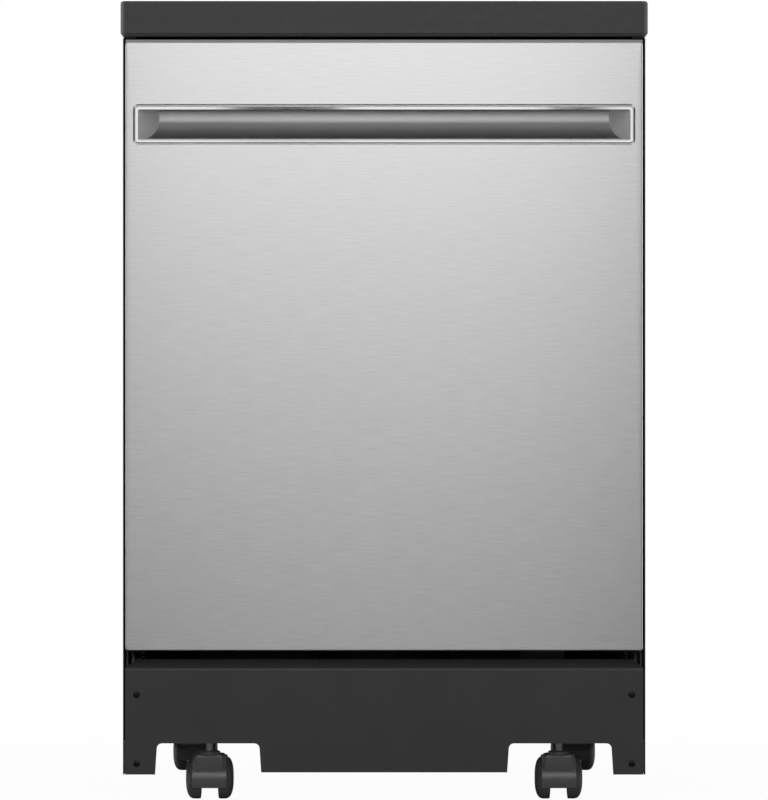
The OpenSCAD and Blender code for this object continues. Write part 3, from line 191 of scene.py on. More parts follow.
def skin(rings, ends=True):
    """Surface through rings (n, m, 3): quads (i, j) (i, j+1) (i+1, j+1) (i+1, j), flat faces at ends."""
    n, m = rings.shape[:2]
    i, j = np.meshgrid(np.arange(n - 1), np.arange(m), indexing="ij")
    k = (j + 1) % m
    faces = [np.stack([i * m + j, i * m + k, (i + 1) * m + k, (i + 1) * m + j], -1).reshape(-1, 4)]
    if ends:
        faces += [np.arange(m)[None, ::-1], (n - 1) * m + np.arange(m)[None]]
    return rings.reshape(-1, 3), faces


def make(name, shape, material, body, stands_for=(), sharp=35, uv=None):
    """Mesh object from a shape in mm: doubles welded, normals outward, smooth below the sharp angle.
    It rides on its body and stands for the CAD nodes given."""
    mesh = bpy.data.meshes.new(name)
    points, faces = shape
    mesh.from_pydata((points / 1000).tolist(), [], [f for block in faces for f in block.tolist()])
    solid = bmesh.new()
    solid.from_mesh(mesh)
    bmesh.ops.remove_doubles(solid, verts=solid.verts, dist=1e-6)
    bmesh.ops.recalc_face_normals(solid, faces=solid.faces)
    solid.to_mesh(mesh)
    solid.free()
    mesh.shade_smooth()
    mesh.set_sharp_from_angle(angle=math.radians(sharp))
    if uv is not None:
        corners = np.zeros(len(mesh.loops), int)
        mesh.loops.foreach_get("vertex_index", corners)
        place = np.zeros(3 * len(mesh.vertices))
        mesh.vertices.foreach_get("co", place)
        flat = uv(place.reshape(-1, 3))[corners]
        mesh.uv_layers.new(name="grain").data.foreach_set("uv", flat.ravel())
    mesh.materials.append(material)
    thing = bpy.data.objects.new(name, mesh)
    scene.collection.objects.link(thing)
    flats = thing.modifiers.new("flats", "WEIGHTED_NORMAL")
    flats.keep_sharp = True
    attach(thing, body)
    if stands_for:
        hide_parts(*stands_for)
    return thing


def finish_of(name, metallic=0.0, **constants):
    """New material with its principled shader: returns it, its tree, the shader and object space in mm."""
    material, tree = bare(bpy.data.materials.new(name))
    shader = add(tree, "ShaderNodeBsdfPrincipled", {"Metallic": metallic})
    for key, value in constants.items():
        shader.inputs[key.replace("_", " ")].default_value = value
    add(tree, "ShaderNodeOutputMaterial", {"Surface": shader.outputs[0]})
    place = add(tree, "ShaderNodeTexCoord").outputs["Object"]
    mm = add(tree, "ShaderNodeVectorMath", {0: place, "Scale": 1000.0}, operation="SCALE").outputs[0]
    return material, tree, shader, mm


def toned(tree, shader, share, low, high):
    """Colour of the surface: low * (1 - share) + high * share."""
    tone = add(tree, "ShaderNodeMix", {0: share, 6: linear(low), 7: linear(high)}, data_type="RGBA")
    tree.links.new(tone.outputs[2], shader.inputs["Base Color"])


def mottled(tree, shader, mm, low, high, size, detail=3.0):
    """Colour between two tones by smooth noise of one patch per size in mm; returns the noise."""
    noise = add(tree, "ShaderNodeTexNoise", {"Vector": mm, "Scale": 1.0 / size, "Detail": detail})
    toned(tree, shader, noise.outputs[0], low, high)
    return noise


def relief(tree, shader, height, depth):
    """Bump of the given depth in mm from a height socket that runs from 0 to 1."""
    bump = add(tree, "ShaderNodeBump", {"Height": height, "Distance": depth / 1000, "Strength": 1.0})
    tree.links.new(bump.outputs[0], shader.inputs["Normal"])


def roughened(tree, shader, noise, low, high):
    """Roughness that follows a noise: low * (1 - noise) + high * noise."""
    span = add(tree, "ShaderNodeMapRange", {"Value": noise.outputs[0], "To Min": low, "To Max": high})
    tree.links.new(span.outputs[0], shader.inputs["Roughness"])


def extent(node):
    """Lowest and highest corner of a CAD node at rest, in mm to the nearest 0.01."""
    return np.round(np.array(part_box(node)) * 1000, 2)


# High-pressure laminate, pebble textured by the press plate: charcoal, matt with a soft sheen.
laminate, tree, shader, mm = finish_of("moulded_laminate", Specular_IOR_Level=0.35)
mottled(tree, shader, mm, "#363637", "#3f3f40", 9.0)
pebble = add(tree, "ShaderNodeTexVoronoi", {"Vector": mm, "Scale": 1 / 0.9}, feature="SMOOTH_F1")
relief(tree, shader, pebble.outputs[0], 0.05)
roughened(tree, shader, pebble, 0.5, 0.62)

# Rings from the underside's chamfer to the rounded top edge as (inset from the widest outline, z).
(_, _, under_z), (top_x, top_y, top_z) = extent("worktop")
edge_r, corner_r = 3, 9
turn = np.linspace(0, math.pi / 2, 6)
low = np.array([(3.5, 0.0), (3.1, 0.1), (0.6, 3.1), (0.15, 3.7), (0.0, 4.4)]) + (0, under_z)
high = np.stack([edge_r - edge_r * np.cos(turn), top_z - edge_r + edge_r * np.sin(turn)], -1)
slab = np.array([np.insert(outline(d - top_x, top_x - d, d - top_y, top_y - d, corner_r - d), 2, z, axis=1)
                 for d, z in np.concatenate([low, high])])
make("worktop_slab", skin(slab), laminate, "cabinet", ["worktop"])


# ----------------------------------------------------------------- cabinet
# Side and back panels of thin steel sheet, folded at the front and powder coated semi-matt black.
# Screwed to the corner posts; the base frame and posts behind are bare galvanized steel.

def coat(material, *names):
    """Gives the material to CAD nodes that keep their own shape."""
    for name in names:
        nodes[name].material_slots[0].material = material


# Powder-coated sheet, black: a fine orange peel that spreads each highlight a little.
black_coat, tree, shader, mm = finish_of("black_powder_coat", Specular_IOR_Level=0.3)
mottled(tree, shader, mm, "#1d1d1e", "#232324", 60.0)
peel = add(tree, "ShaderNodeTexNoise", {"Vector": mm, "Scale": 1 / 1.6, "Detail": 2.0})
relief(tree, shader, peel.outputs[0], 0.03)
roughened(tree, shader, peel, 0.36, 0.48)

coat(black_coat, "side_panel_left", "side_panel_right", "back_panel")


# -------------------------------------------------------------- door panel
# Outer door skin of 0.7 mm ferritic stainless steel, brushed along its width and clear coated.
# Folded round all four edges over the liner, with a groove pressed round the handle opening.

# Brushed stainless: long fine lines across the door that smear reflections up and down.
brushed, tree, shader, mm = finish_of("brushed_stainless", 1.0, Anisotropic=0.8)
# The real lines are 0.1 mm apart; they are drawn 1.3 mm apart and 30 mm long, so that they show.
lines = add(tree, "ShaderNodeMapping", {"Vector": mm, "Scale": (1 / 30, 1.0, 1 / 1.3)})
noise = add(tree, "ShaderNodeTexNoise", {"Vector": lines.outputs[0], "Scale": 1.0, "Detail": 4.0,
                                         "Roughness": 0.6})
streak = add(tree, "ShaderNodeMapRange", {"Value": noise.outputs[0], "From Min": 0.3, "From Max": 0.7})
toned(tree, shader, streak.outputs[0], "#bebebe", "#cccccc")
roughened(tree, shader, streak, 0.305, 0.35)
along = add(tree, "ShaderNodeTangent", direction_type="UV_MAP", uv_map="grain")
tree.links.new(along.outputs[0], shader.inputs["Tangent"])
relief(tree, shader, streak.outputs[0], 0.006)


def joined(*shapes):
    """Puts shapes in one mesh: each one's face numbers grow by the vertices before it."""
    counts = np.cumsum([0] + [len(s[0]) for s in shapes])
    return (np.concatenate([s[0] for s in shapes]),
            [f + c for s, c in zip(shapes, counts) for f in s[1]])


def stack(levels, steps=6):
    """Rings of rounded rectangles in the door's plane from rows (half width, low z, high z, r, y)."""
    return np.array([np.insert(outline(-x, x, z0, z1, r, steps), 1, y, axis=1)
                     for x, z0, z1, r, y in levels])


def tube(*rings):
    """Open surface through the rings given."""
    return skin(np.array(rings), ends=False)


# Rings from the folded flange over the rolled edge to the face, and on down the groove round the handle
# opening to its cut edge. The rings called back are the flange's inner face.
(_, face_y, door_z0), (door_x, side_fold_y, hem_z1) = extent("door_outer_panel")
door_z1, door_r = hem_z1 - 3.4, 3
end_fold_y = side_fold_y - 10
hole_x, hole_z0, hole_z1, hole_r = 289.7, 761.1, 807.7, 6.2
roll = [(door_x - d, door_z0 + d, door_z1 - d, door_r - d, y) for d, y in
        ((0.0, -314.6), (0.15, -315.2), (0.5, -315.7), (1.0, -315.93), (1.6, face_y))]
opening = [(hole_x + d, hole_z0 - d, hole_z1 + d, hole_r + d, y) for d, y in
           ((0.4, face_y), (0.1, -315.9), (0.0, -315.6), (-0.1, -312.4), (-1.6, -312.0))]
opening += [(285.4, 765.6, 804.0, 4.0, y) for y in (-312.0, -311.4)]
panel = stack([(door_x, door_z0, door_z1, door_r, end_fold_y)] + roll + opening)
back = stack([(door_x - 1, door_z0 + 1, door_z1 - 1, door_r - 1, y) for y in (end_fold_y, -315.0)])
for ring in (panel[0], back[0]):
    ring[:, 1] = np.where(abs(ring[:, 0]) > door_x - 1.5, side_fold_y, end_fold_y)
door_skin = joined(tube(*panel), tube(back[1], panel[-1]), tube(*back), tube(panel[0], back[0]))
make("door_skin", door_skin, brushed, "door", ["door_outer_panel"],
     uv=lambda p: p[:, [2, 0]])

# The hem of the door skin: folded back on itself above the face, plain mill finish, so it looks dull.
# Its colour is drawn darker than the door's as painted shade, for the worktop's shadow along the top edge.
hem_painted_shade, tree, shader, mm = finish_of("mill_stainless_painted_shade", 0.7)
mottled(tree, shader, mm, "#8c8d8d", "#989999", 30.0)
grain = add(tree, "ShaderNodeTexNoise", {"Vector": mm, "Scale": 1 / 2.5, "Detail": 3.0})
roughened(tree, shader, grain, 0.5, 0.6)
strip = np.array([(-314.6, 878.4), (-315.3, 878.6), (-315.3, 881.8), (-315.1, 882.3), (-314.6, 882.5),
                  (-306.0, 882.5), (-306.0, 881.5), (-314.2, 881.5)])
folded = skin(np.array([np.insert(strip, 0, x, axis=1) for x in (-298.2, 298.2)]))
make("door_hem", folded, hem_painted_shade, "door")


# ------------------------------------------------------------ handle bezel
# Bright frame round the pocket handle, die cast and chromium plated, crowned across its width.
# It snaps into the opening from the front and hides the cut edge of the door skin.

# Bright chromium plate: near mirror. Drawn darker than the metal, as the studio round it is all white.
chrome, tree, shader, mm = finish_of("bright_chrome_plate", 1.0)
mottled(tree, shader, mm, "#949596", "#9a9b9c", 40.0)
haze = add(tree, "ShaderNodeTexNoise", {"Vector": mm, "Scale": 1 / 12, "Detail": 2.0})
roughened(tree, shader, haze, 0.05, 0.08)

# The frame's profile from its inner foot over the crown to the outer one, as (way out, y).
section = [(-2.1, -313.2), (-2.3, -316.1), (-2.5, -316.5), (-2.85, -316.62), (-5.75, -316.62),
           (-6.1, -316.45), (-6.35, -315.9), (-6.4, -313.2)]
rim_x, rim_z0, rim_z1, rim_r = 290, 761.6, 807.5, 5.4
lower_bar = 0.81
bezel = stack([(rim_x + d, rim_z0 - lower_bar * d, rim_z1 + d, rim_r + 0.6 * d, y) for d, y in section], 8)
make("bezel_frame", tube(*bezel, bezel[0]), chrome, "door", ["handle_bezel"], sharp=12)


# ----------------------------------------------------------- handle pocket
# Scoop for the fingers, drawn from satin stainless sheet with its deepest line near the top.
# Its two ends slope inwards, and its flange is trapped between the bezel and the door skin.

# Satin stainless: fine random polish, softer and greyer than the door.
satin, tree, shader, mm = finish_of("satin_stainless", 1.0)
mottled(tree, shader, mm, "#aaaaab", "#b3b3b4", 25.0)
fine = add(tree, "ShaderNodeTexNoise", {"Vector": mm, "Scale": 1 / 0.7, "Detail": 2.0})
roughened(tree, shader, fine, 0.39, 0.45)


def scoop(x, low, high, depth, deep=793.6, lip=0.16, crest=0.018):
    """Half-width x - 23 mm * t at depth share t. The floor goes straight in over the lip's share, then
    drops off as a quarter ellipse under the deepest line; over it height share = sqrt((1 - t) / crest)."""
    a = np.linspace(0, math.pi / 2, 20)
    t = np.concatenate([[0.0, 0.12], lip + (1 - lip) * np.sin(a), 1 - crest * np.linspace(0, 1, 8) ** 2])
    t = np.sort(t)
    under = np.sqrt(1 - (np.clip(t - lip, 0, 1 - lip) / (1 - lip)) ** 2)
    over = np.sqrt(np.clip((1 - t) / crest, 0, 1))
    return stack([(x - 23 * b, deep - (deep - low) * c, deep + (high - deep) * d, 0.0, face_y + depth * b)
                  for b, c, d in zip(t, under, over)], 1)


scoop_x, scoop_z0, scoop_z1, gauge = 285.1, 766.3, 803.4, 1.6
inner = scoop(scoop_x - gauge, scoop_z0 + gauge, scoop_z1 - gauge, 24.0)
outer = scoop(scoop_x, scoop_z0, scoop_z1, 25.5)
make("pocket_scoop", joined(tube(*inner), tube(*outer), tube(inner[0], outer[0])), satin,
     "door", ["handle_pocket"], sharp=30)


# ------------------------------------------------------------ access panel
# Toe panel of coated steel with a bent-back top flange and two openings for the front casters.
# Four black truss-head screws hold it to the base frame, so it comes off for service.

# Satin black enamel over steel, a little greyer than the sides.
panel_coat, tree, shader, mm = finish_of("satin_black_enamel", Specular_IOR_Level=0.3)
mottled(tree, shader, mm, "#353536", "#3b3b3c", 70.0)
peel = add(tree, "ShaderNodeTexNoise", {"Vector": mm, "Scale": 1 / 1.6, "Detail": 2.0})
relief(tree, shader, peel.outputs[0], 0.025)
roughened(tree, shader, peel, 0.42, 0.52)


def moved(shape, by):
    """Copies of the shape at a row of moves (k, 3): vertex + move, once for each."""
    by = np.atleast_2d(np.array(by, float))
    points, faces = shape
    step = len(points) * np.arange(len(by))
    return ((points[None] + by[:, None]).reshape(-1, 3),
            [(f[None] + step[:, None, None]).reshape(-1, f.shape[1]) for f in faces])


def reversed_on(shape, axis):
    """Mirror image of the shape across the plane where that axis is 0, with its faces turned round."""
    points, faces = shape
    return points * np.where(np.arange(3) == axis, -1, 1), [f[:, ::-1] for f in faces]


def mirrored(shape):
    """The shape and its mirror image across the plane x = 0."""
    return joined(shape, reversed_on(shape, 0))


def prism(flat, y0, y1):
    """A flat outline (x, z) between two depths: one many-sided face each end, quads along the rim."""
    return skin(np.array([np.insert(flat, 1, y, axis=1) for y in (y0, y1)]))


def arc(x, z, r, t0, t1, steps=5):
    """Points (x + r cos t, z + r sin t) from angle t0 to t1 in degrees."""
    t = np.radians(np.linspace(t0, t1, steps + 1))
    return np.stack([x + r * np.cos(t), z + r * np.sin(t)], -1)


# Half of the face from its outer edge to the middle: each caster's opening is rounded and narrows upward.
toe_y, toe_z = extent("access_panel")[0, 1:]
toe_x, bend_z, gauge = 299.2, 153.8, 1.2
cut_z, cut_r = 64, 6
half = np.concatenate([[(toe_x, bend_z), (toe_x, toe_z), (264.55, toe_z)], arc(256.6, cut_z, cut_r, 0, 90),
                       arc(149.9, cut_z, cut_r, 90, 180), [(142.05, 36.5)]])
face = np.concatenate([half, half[::-1] * (-1, 1)])
fold = np.concatenate([arc(-308.8, bend_z, 4.2, 180, 121, 6), [(-293.0, 166.5)]])
inner_fold = np.concatenate([arc(-308.8, bend_z, 3.0, 180, 121, 6), [(-293.6, 165.4)]])
bent = np.concatenate([fold, inner_fold[::-1]])
wide = np.clip(toe_x - np.clip(bent[:, 0] + 309, 0, 100) * 0.8, 286, toe_x)
flange = np.array([np.column_stack([s * wide, bent]) for s in (-1, 1)])
returned = np.array([(toe_x, toe_z), (toe_x, bend_z), (toe_x - gauge, bend_z), (toe_x - gauge, toe_z)])
toe = joined(prism(face, toe_y, toe_y + gauge), skin(flange), mirrored(prism(returned, toe_y + 1.1, -300)))
make("toe_panel", toe, panel_coat, "cabinet", ["access_panel"])


def turned(rows, centre, axis=0, n=40):
    """Surface of revolution: row (along, r) becomes a circle about the line through centre on that axis."""
    rows = np.array(rows, float)
    t = np.linspace(0, 2 * math.pi, n, endpoint=False)
    ring = np.zeros((len(rows), n, 3))
    ring[..., axis] = rows[:, :1]
    ring[..., (axis + 1) % 3] = rows[:, 1:] * np.cos(t)
    ring[..., (axis + 2) % 3] = rows[:, 1:] * np.sin(t)
    return skin(ring + np.array(centre, float), ends=False)


def clouded(name, low, high, size, smooth, rough, metallic=0.0, detail=3.0, depth=0.0, **constants):
    """New material in which one smooth noise, of a patch per size in mm, carries the colour from low to high,
    the roughness from smooth to rough and the surface outward by up to the depth in mm."""
    material, tree, shader, mm = finish_of(name, metallic, **constants)
    noise = mottled(tree, shader, mm, low, high, size, detail)
    roughened(tree, shader, noise, smooth, rough)
    if depth:
        relief(tree, shader, noise.outputs[0], depth)
    return material


# Blackened steel screws, oiled: darker than the panel, with a glint on the head's edge.
screw_black = clouded("blackened_steel", "#1b1b1c", "#262627", 1.2, 0.28, 0.4, 0.6, Specular_IOR_Level=0.4)

# Domed head with a cross recess: half-width 2.3 mm along the arms and 0.55 mm across them.
t = np.linspace(0, 2 * math.pi, 48, endpoint=False)
plus = np.minimum(2.3 / np.maximum(abs(np.cos(t)), abs(np.sin(t))),
                  0.55 / np.maximum(np.minimum(abs(np.cos(t)), abs(np.sin(t))), 0.2))
dome = [(0.0, 4.0), (-0.5, 3.95), (-1.0, 3.6), (-1.35, 3.05)]
socket = [(-1.5, np.maximum(plus * 1.1, 2.4)), (-1.52, plus), (-0.9, plus * 0.85)]
head = np.array([np.stack([r * np.cos(t), np.full(48, y), r * np.sin(t)], -1) for y, r in dome + socket])
screw = joined(skin(head), turned([(0.0, 2.0), (10.0, 2.0), (10.0, 0.0)], (0, 0, 0), 1, 16))
heads = [(x, toe_y, z) for x in (-286, 286) for z in (46.7, 126.5)]
make("toe_screws", moved(screw, heads), screw_black, "cabinet", ["access_panel_screws"])


# ----------------------------------------------------------------- casters
# Twin-wheel furniture casters: a nylon hood over two hard nylon wheels on one steel axle.
# Each stem is a zinc-plated pin in a socket of the base frame, and the hood swivels on it.

# Glass-filled nylon, charcoal: a smooth moulded skin with a broad dull highlight.
nylon, tree, shader, mm = finish_of("glass_filled_nylon", Specular_IOR_Level=1.0, Coat_Weight=0.8,
                                    Coat_Roughness=0.3)
mottled(tree, shader, mm, "#4a4a4c", "#545456", 6.0)
sand = add(tree, "ShaderNodeTexNoise", {"Vector": mm, "Scale": 1 / 0.5, "Detail": 2.0})
relief(tree, shader, sand.outputs[0], 0.02)
roughened(tree, shader, sand, 0.36, 0.46)

# Hard tread nylon: dark grey, scuffed by rolling.
tread = clouded("tread_nylon", "#434345", "#515153", 3.5, 0.42, 0.6, detail=5.0, depth=0.03,
                Specular_IOR_Level=0.45)

# Millimetres from the floor under the stem: the axle lies behind it, and the shell goes round the wheels.
axle = (0, 18, 25)
shell_x, shell_r = 20.5, 28.0


def round_axle(r, steps):
    """Path (y, z) from before the axle, over it, to behind: axle + r * (-cos a, sin a), a from -24 to 204."""
    a = np.radians(np.linspace(-24, 204, steps))[:, None]
    return np.stack([axle[1] - np.cos(a) * r, axle[2] + np.sin(a) * r], -1)


wall = outline(-shell_x, shell_x, shell_r - 1.8, shell_r, 0.8, 3)
bowed = wall[:, 1] * (1 - 0.05 * np.abs(wall[:, 0] / shell_x) ** 4 * (wall[:, 1] > shell_r - 1))
shroud = np.insert(round_axle(bowed, 40), 0, wall[:, 0], axis=2)
rim = round_axle(26.5, 30)[:, 0]
web = np.array([np.insert(rim, 0, x, axis=1) for x in (-8.0, 8.0)])
collar = turned([(30.0, 0.0), (30.0, 7.0), (52.0, 7.0), (52.0, 12.2), (52.6, 12.8), (56.4, 12.8),
                 (57.2, 12.2), (57.2, 10.3), (57.8, 9.5), (57.8, 0.0)], (0, 0, 0), 2, 40)
# Fairing between the shell and the collar as rows (z, front y, half width).
rise = [(30, -7.0, 19.4), (36.2, -7.8, 19.5), (44, -8.2, 19.5), (50, -8.5, 19.3), (52.4, -8.2, 18.9),
        (53.9, -7.2, 17.8), (54.5, -5.2, 15.8)]
fairing = np.array([np.insert(outline(-w, w, front, 14 + front / 2, 5, 5), 2, z, axis=1)
                    for z, front, w in rise])
hood = joined(skin(shroud), skin(web), collar, skin(fairing))
wheel = turned([(10.0, 3.2), (10.0, 20.5), (10.4, 21.2), (10.4, 24.2), (11.4, 24.8), (13.0, 25.0),
                (18.0, 25.0), (20.4, 24.6), (22.6, 23.4), (24.4, 21.4), (25.8, 18.6), (26.8, 15.2),
                (27.5, 11.4), (27.75, 8.0), (26.8, 7.2), (26.8, 0.0)], axle, 0, 56)
pin = turned([(-12.0, 0.0), (-12.0, 3.0), (12.0, 3.0), (12.0, 0.0)], axle, 0, 16)
pair = joined(mirrored(wheel), pin)
for corner in ("front_left", "front_right", "rear_left", "rear_right"):
    caster = f"caster_{corner}"
    foot = extent(f"{caster}_wheels").mean(axis=0) - axle
    make(f"{caster}_hood_moulding", moved(hood, foot), nylon, caster,
         [f"{caster}_hood"])
    make(f"{caster}_wheels_moulding", moved(pair, foot), tread, f"{caster}_wheels",
         [f"{caster}_wheels"])

# Zinc-plated steel: pale, slightly blue, with soft clouds from the bath.
zinc = clouded("zinc_plated_steel", "#c2c5c8", "#d2d4d6", 18.0, 0.32, 0.5, 0.4, detail=4.0)
coat(zinc, "caster_stems", "door_strike", "latch_hook")


# ------------------------------------------------------- base and brackets
# Base frame, corner posts, hinge brackets and hinge arms are pressed from galvanized steel sheet.
# None of them is painted: the bath leaves a spangled grey that the black panels hide.

# Hot-dip galvanized sheet: flat grey crystals, each with its own tone.
galvanized, tree, shader, mm = finish_of("galvanized_sheet", 1.0)
spangle = add(tree, "ShaderNodeTexVoronoi", {"Vector": mm, "Scale": 1 / 7.0})
toned(tree, shader, spangle.outputs["Color"], "#85888b", "#a3a6a8")
roughened(tree, shader, spangle, 0.38, 0.56)
coat(galvanized, "base_frame", "cabinet_frame", "hinge_brackets", "door_hinge_arms")


# ------------------------------------------------------------------- racks
# Trays of round steel wire, welded at every crossing and dipped in soft grey PVC.
# The upper one runs in rails on glides, the lower one on four rollers.

# PVC dip over wire: mid grey, smooth and slightly glossy.
vinyl = clouded("pvc_dip", "#8f9397", "#989ca0", 14.0, 0.26, 0.38, Specular_IOR_Level=0.5)


def rod(path, r, normal, n=8, loop=False):
    """Round wire along a flat path: ring points path + r (cos a * normal + sin a * normal x tangent)."""
    path = np.array(path, float)
    ahead = np.roll(path, -1, 0) - np.roll(path, 1, 0)
    if not loop:
        ahead[0], ahead[-1] = path[1] - path[0], path[-1] - path[-2]
    side = np.cross(normal, ahead)
    side /= np.linalg.norm(side, axis=1, keepdims=True)
    a = np.linspace(0, 2 * math.pi, n, endpoint=False)[None, :, None]
    rings = path[:, None] + r * (np.cos(a) * np.array(normal, float) + np.sin(a) * side[:, None])
    if loop:
        return skin(np.concatenate([rings, rings[:1]]), ends=False)
    return skin(rings)


def cradle(low, high, floor, top, r):
    """Flat path of a wire that goes down at low, across the floor and up at high, bent with radius r."""
    return np.concatenate([[(low, top)], arc(low + r, floor + r, r, 180, 270),
                           arc(high - r, floor + r, r, 270, 360), [(high, top)]])


def tray(half, y0, y1, z0, height):
    """Nine wires across, nine along and two round rims; centre lines lie 2 mm inside the outer faces."""
    r = 2.0
    across = cradle(r - half, half - r, z0 + r, z0 + height - 3, 9)
    wire_x = rod(np.insert(across, 1, 0, axis=1), r, (0, 1, 0))
    steps = [(0, y0 + 20 + i * (y1 - y0 - 40) / 8, 0) for i in range(9)]
    along = cradle(y0 + r, y1 - r, z0 - 1, z0 + height - 3, 9)
    wire_y = rod(np.insert(along, 0, 0, axis=1), r, (1, 0, 0))
    lanes = [(i * (2 * half - 60) / 8 - half + 30, 0, 0) for i in range(9)]
    lip = outline(-half + 1.6, half - 1.6, y0 + 1.6, y1 - 1.6, 14)
    rims = [rod(np.insert(lip, 2, z, axis=1), r, (0, 0, 1), loop=True)
            for z, r in ((z0 + height - 2.6, 2.6), (z0 + height * 0.55, 1.8))]
    return joined(moved(wire_x, steps), moved(wire_y, lanes), *rims)


def tines(x, y0, y1, low, high):
    """Round-ended plate tines every 36 mm along y."""
    pole = turned([(low, 0.0), (low, 1.75), (high - 1.6, 1.75), (high - 0.5, 1.25), (high, 0.0)],
                  (0, 0, 0), 2, 8)
    return moved(pole, [(x, y, 0) for y in np.arange(y0, y1 + 1e-6, 36.0)])


def bar(x0, x1, y0, y1, z0, z1, r):
    """A block with edges rounded by r: rings of rounded rectangles that shrink toward the ends."""
    q = np.linspace(0, math.pi / 2, 4)
    near = np.stack([r * (1 - np.sin(q)), z0 + r * (1 - np.cos(q))], -1)
    far = np.stack([r * (1 - np.cos(q)), z1 - r * (1 - np.sin(q))], -1)
    return skin(np.array([np.insert(outline(x0 + d, x1 - d, y0 + d, y1 - d, max(r - d, 0.05) + 0.2, 3), 2, z,
                                    axis=1)
                          for d, z in np.concatenate([near, far])]))


rack_x = 255
upper_z, lower_z = 600, 259
lane = (2 * rack_x - 60) / 8
glides = [bar(s * 262.9 - 8.5, s * 262.9 + 8.5, y, y + 30, upper_z + 0.5, upper_z + 19.5, 2.0)
          for s in (-1, 1) for y in (-221, 199)]
pipe = turned([(0.0, 8.0), (248.7, 8.0), (248.7, 6.5), (0.0, 6.5)], (0, 0, 588), 1, 24)
hub = turned([(576.0, 0.0), (576.0, 18.5), (577.5, 20.0), (594.0, 20.0), (597.0, 17.0), (597.0, 0.0)],
             (0, 0, 0), 2, 32)
spigot = turned([(558.0, 0.0), (558.0, 12.0), (561.0, 12.0), (561.0, 6.0), (577.0, 6.0), (577.0, 0.0)],
                (0, 0, 0), 2, 32)
upper = joined(tray(rack_x, -246, 229, upper_z, 116),
               *[tines(x, -186, 169, upper_z - 1, upper_z + 55) for x in (-2 * lane, 2 * lane)])
make("upper_basket_wires", joined(upper, *glides, pipe, hub, spigot), vinyl, "upper_rack",
     ["upper_rack"])

spindles = [extent(f"lower_rack_rollers_{end}").mean(axis=0) for end in ("front", "rear")]
roller_ys, roller_z = [spindle[1] for spindle in spindles], spindles[0][2]
crook = [(-24, 261), (-16, roller_z), (16, roller_z), (24, 261)]
hangers = [rod([(s * 253, y + along, z) for along, z in crook], 2.0, (1, 0, 0))
           for s in (-1, 1) for y in roller_ys]
stubs = [turned([(254 * s, 0.0), (254 * s, 3.0), (267.8 * s, 3.0), (267.8 * s, 0.0)], (0, y, roller_z), 0, 16)
         for s in (-1, 1) for y in roller_ys]
clips = [bar(55, 65, y - 4, y + 4, lower_z - 1, lower_z + 15, 1.5) for y in (-191, 209)]
lower = joined(tray(rack_x, -221, 249, lower_z, 114),
               *[tines(x, -179, 207, lower_z - 1, lower_z + 81) for x in (-3 * lane, -lane)])
make("lower_basket_wires", joined(lower, *hangers, *stubs, *clips), vinyl, "lower_rack",
     ["lower_rack"])

(_, fold_y0, _), (_, fold_y1, fold_z1) = extent("fold_tines")
spine_x, spine_z = 60, 269
spine = turned([(fold_y0, 0.0), (fold_y0, 2.0), (fold_y1, 2.0), (fold_y1, 0.0)], (spine_x, 0, spine_z), 1, 10)
row = tines(spine_x, fold_y0 + 22, fold_y1 - 22, spine_z, fold_z1)
make("folding_tines", joined(spine, row), vinyl, "fold_tines", ["fold_tines"])

# Acetal, natural: milky grey-white and faintly waxy, for rollers, lid and rinse cap.
acetal = clouded("acetal", "#c3c6c9", "#cdd0d2", 8.0, 0.3, 0.42, Specular_IOR_Level=0.5)
disc = turned([(257.0, 3.1), (257.0, 16.0), (258.0, 17.0), (266.0, 17.0), (267.0, 16.0), (267.0, 13.5),
               (265.2, 13.0), (265.2, 5.5), (266.6, 5.0), (266.6, 3.1)], (0, 0, roller_z), 0, 40)
for end, y in zip(("front", "rear"), roller_ys):
    make(f"rollers_{end}_wheels", moved(mirrored(disc), (0, y, 0)), acetal, f"rollers_{end}",
         [f"lower_rack_rollers_{end}"])


# ------------------------------------------------------------ back of case
# Back sheet screwed to the rear posts, stiffened by long beads pressed outward.
# It is drawn from the same coated steel as the sides, and its screws are blackened.

def bead(x, z0, z1, y, width, height, out=1):
    """Upright pressed bead on a wall at depth y: rings of half width r * taper, with taper = sqrt(1 - (reach
    past the end's centre / r) ** 2), and height * sin(a) ** 1.5 over the wall, 0.4 mm deep behind it."""
    r = width / 2
    z = np.concatenate([z0 + r * (1 - np.cos(np.linspace(0, math.pi / 2, 5))),
                        z1 - r * (1 - np.cos(np.linspace(math.pi / 2, 0, 5)))])
    past = (z - np.clip(z, z0 + r, z1 - r)) / r
    taper = np.sqrt(np.clip(1 - past ** 2, 0.0004, 1))[:, None]
    a = np.linspace(0, 2 * math.pi, 24, endpoint=False)
    lift = np.where(np.sin(a) > 0, abs(np.sin(a)) ** 1.5 * height, np.sin(a) * 0.4)
    return skin(np.stack([x + taper * np.cos(a) * r, y + out * taper * lift,
                          np.broadcast_to(z[:, None], (10, 24))], -1))


back_y = extent("back_panel")[1, 1]
beads = [bead(x, 260, 830, back_y - 0.1, 26, 3.6) for x in (-200, -100, 0, 100, 200)]
make("back_beads", joined(*beads), black_coat, "cabinet", sharp=60)
spots = [(x, back_y, z) for x in (-292, 292) for z in (60, 200, 340, 480, 620, 760, 868)]
spots += [(x, back_y, 868) for x in (-150, 0, 150)]
make("back_screws", moved(reversed_on(screw, 1), spots), screw_black, "cabinet")

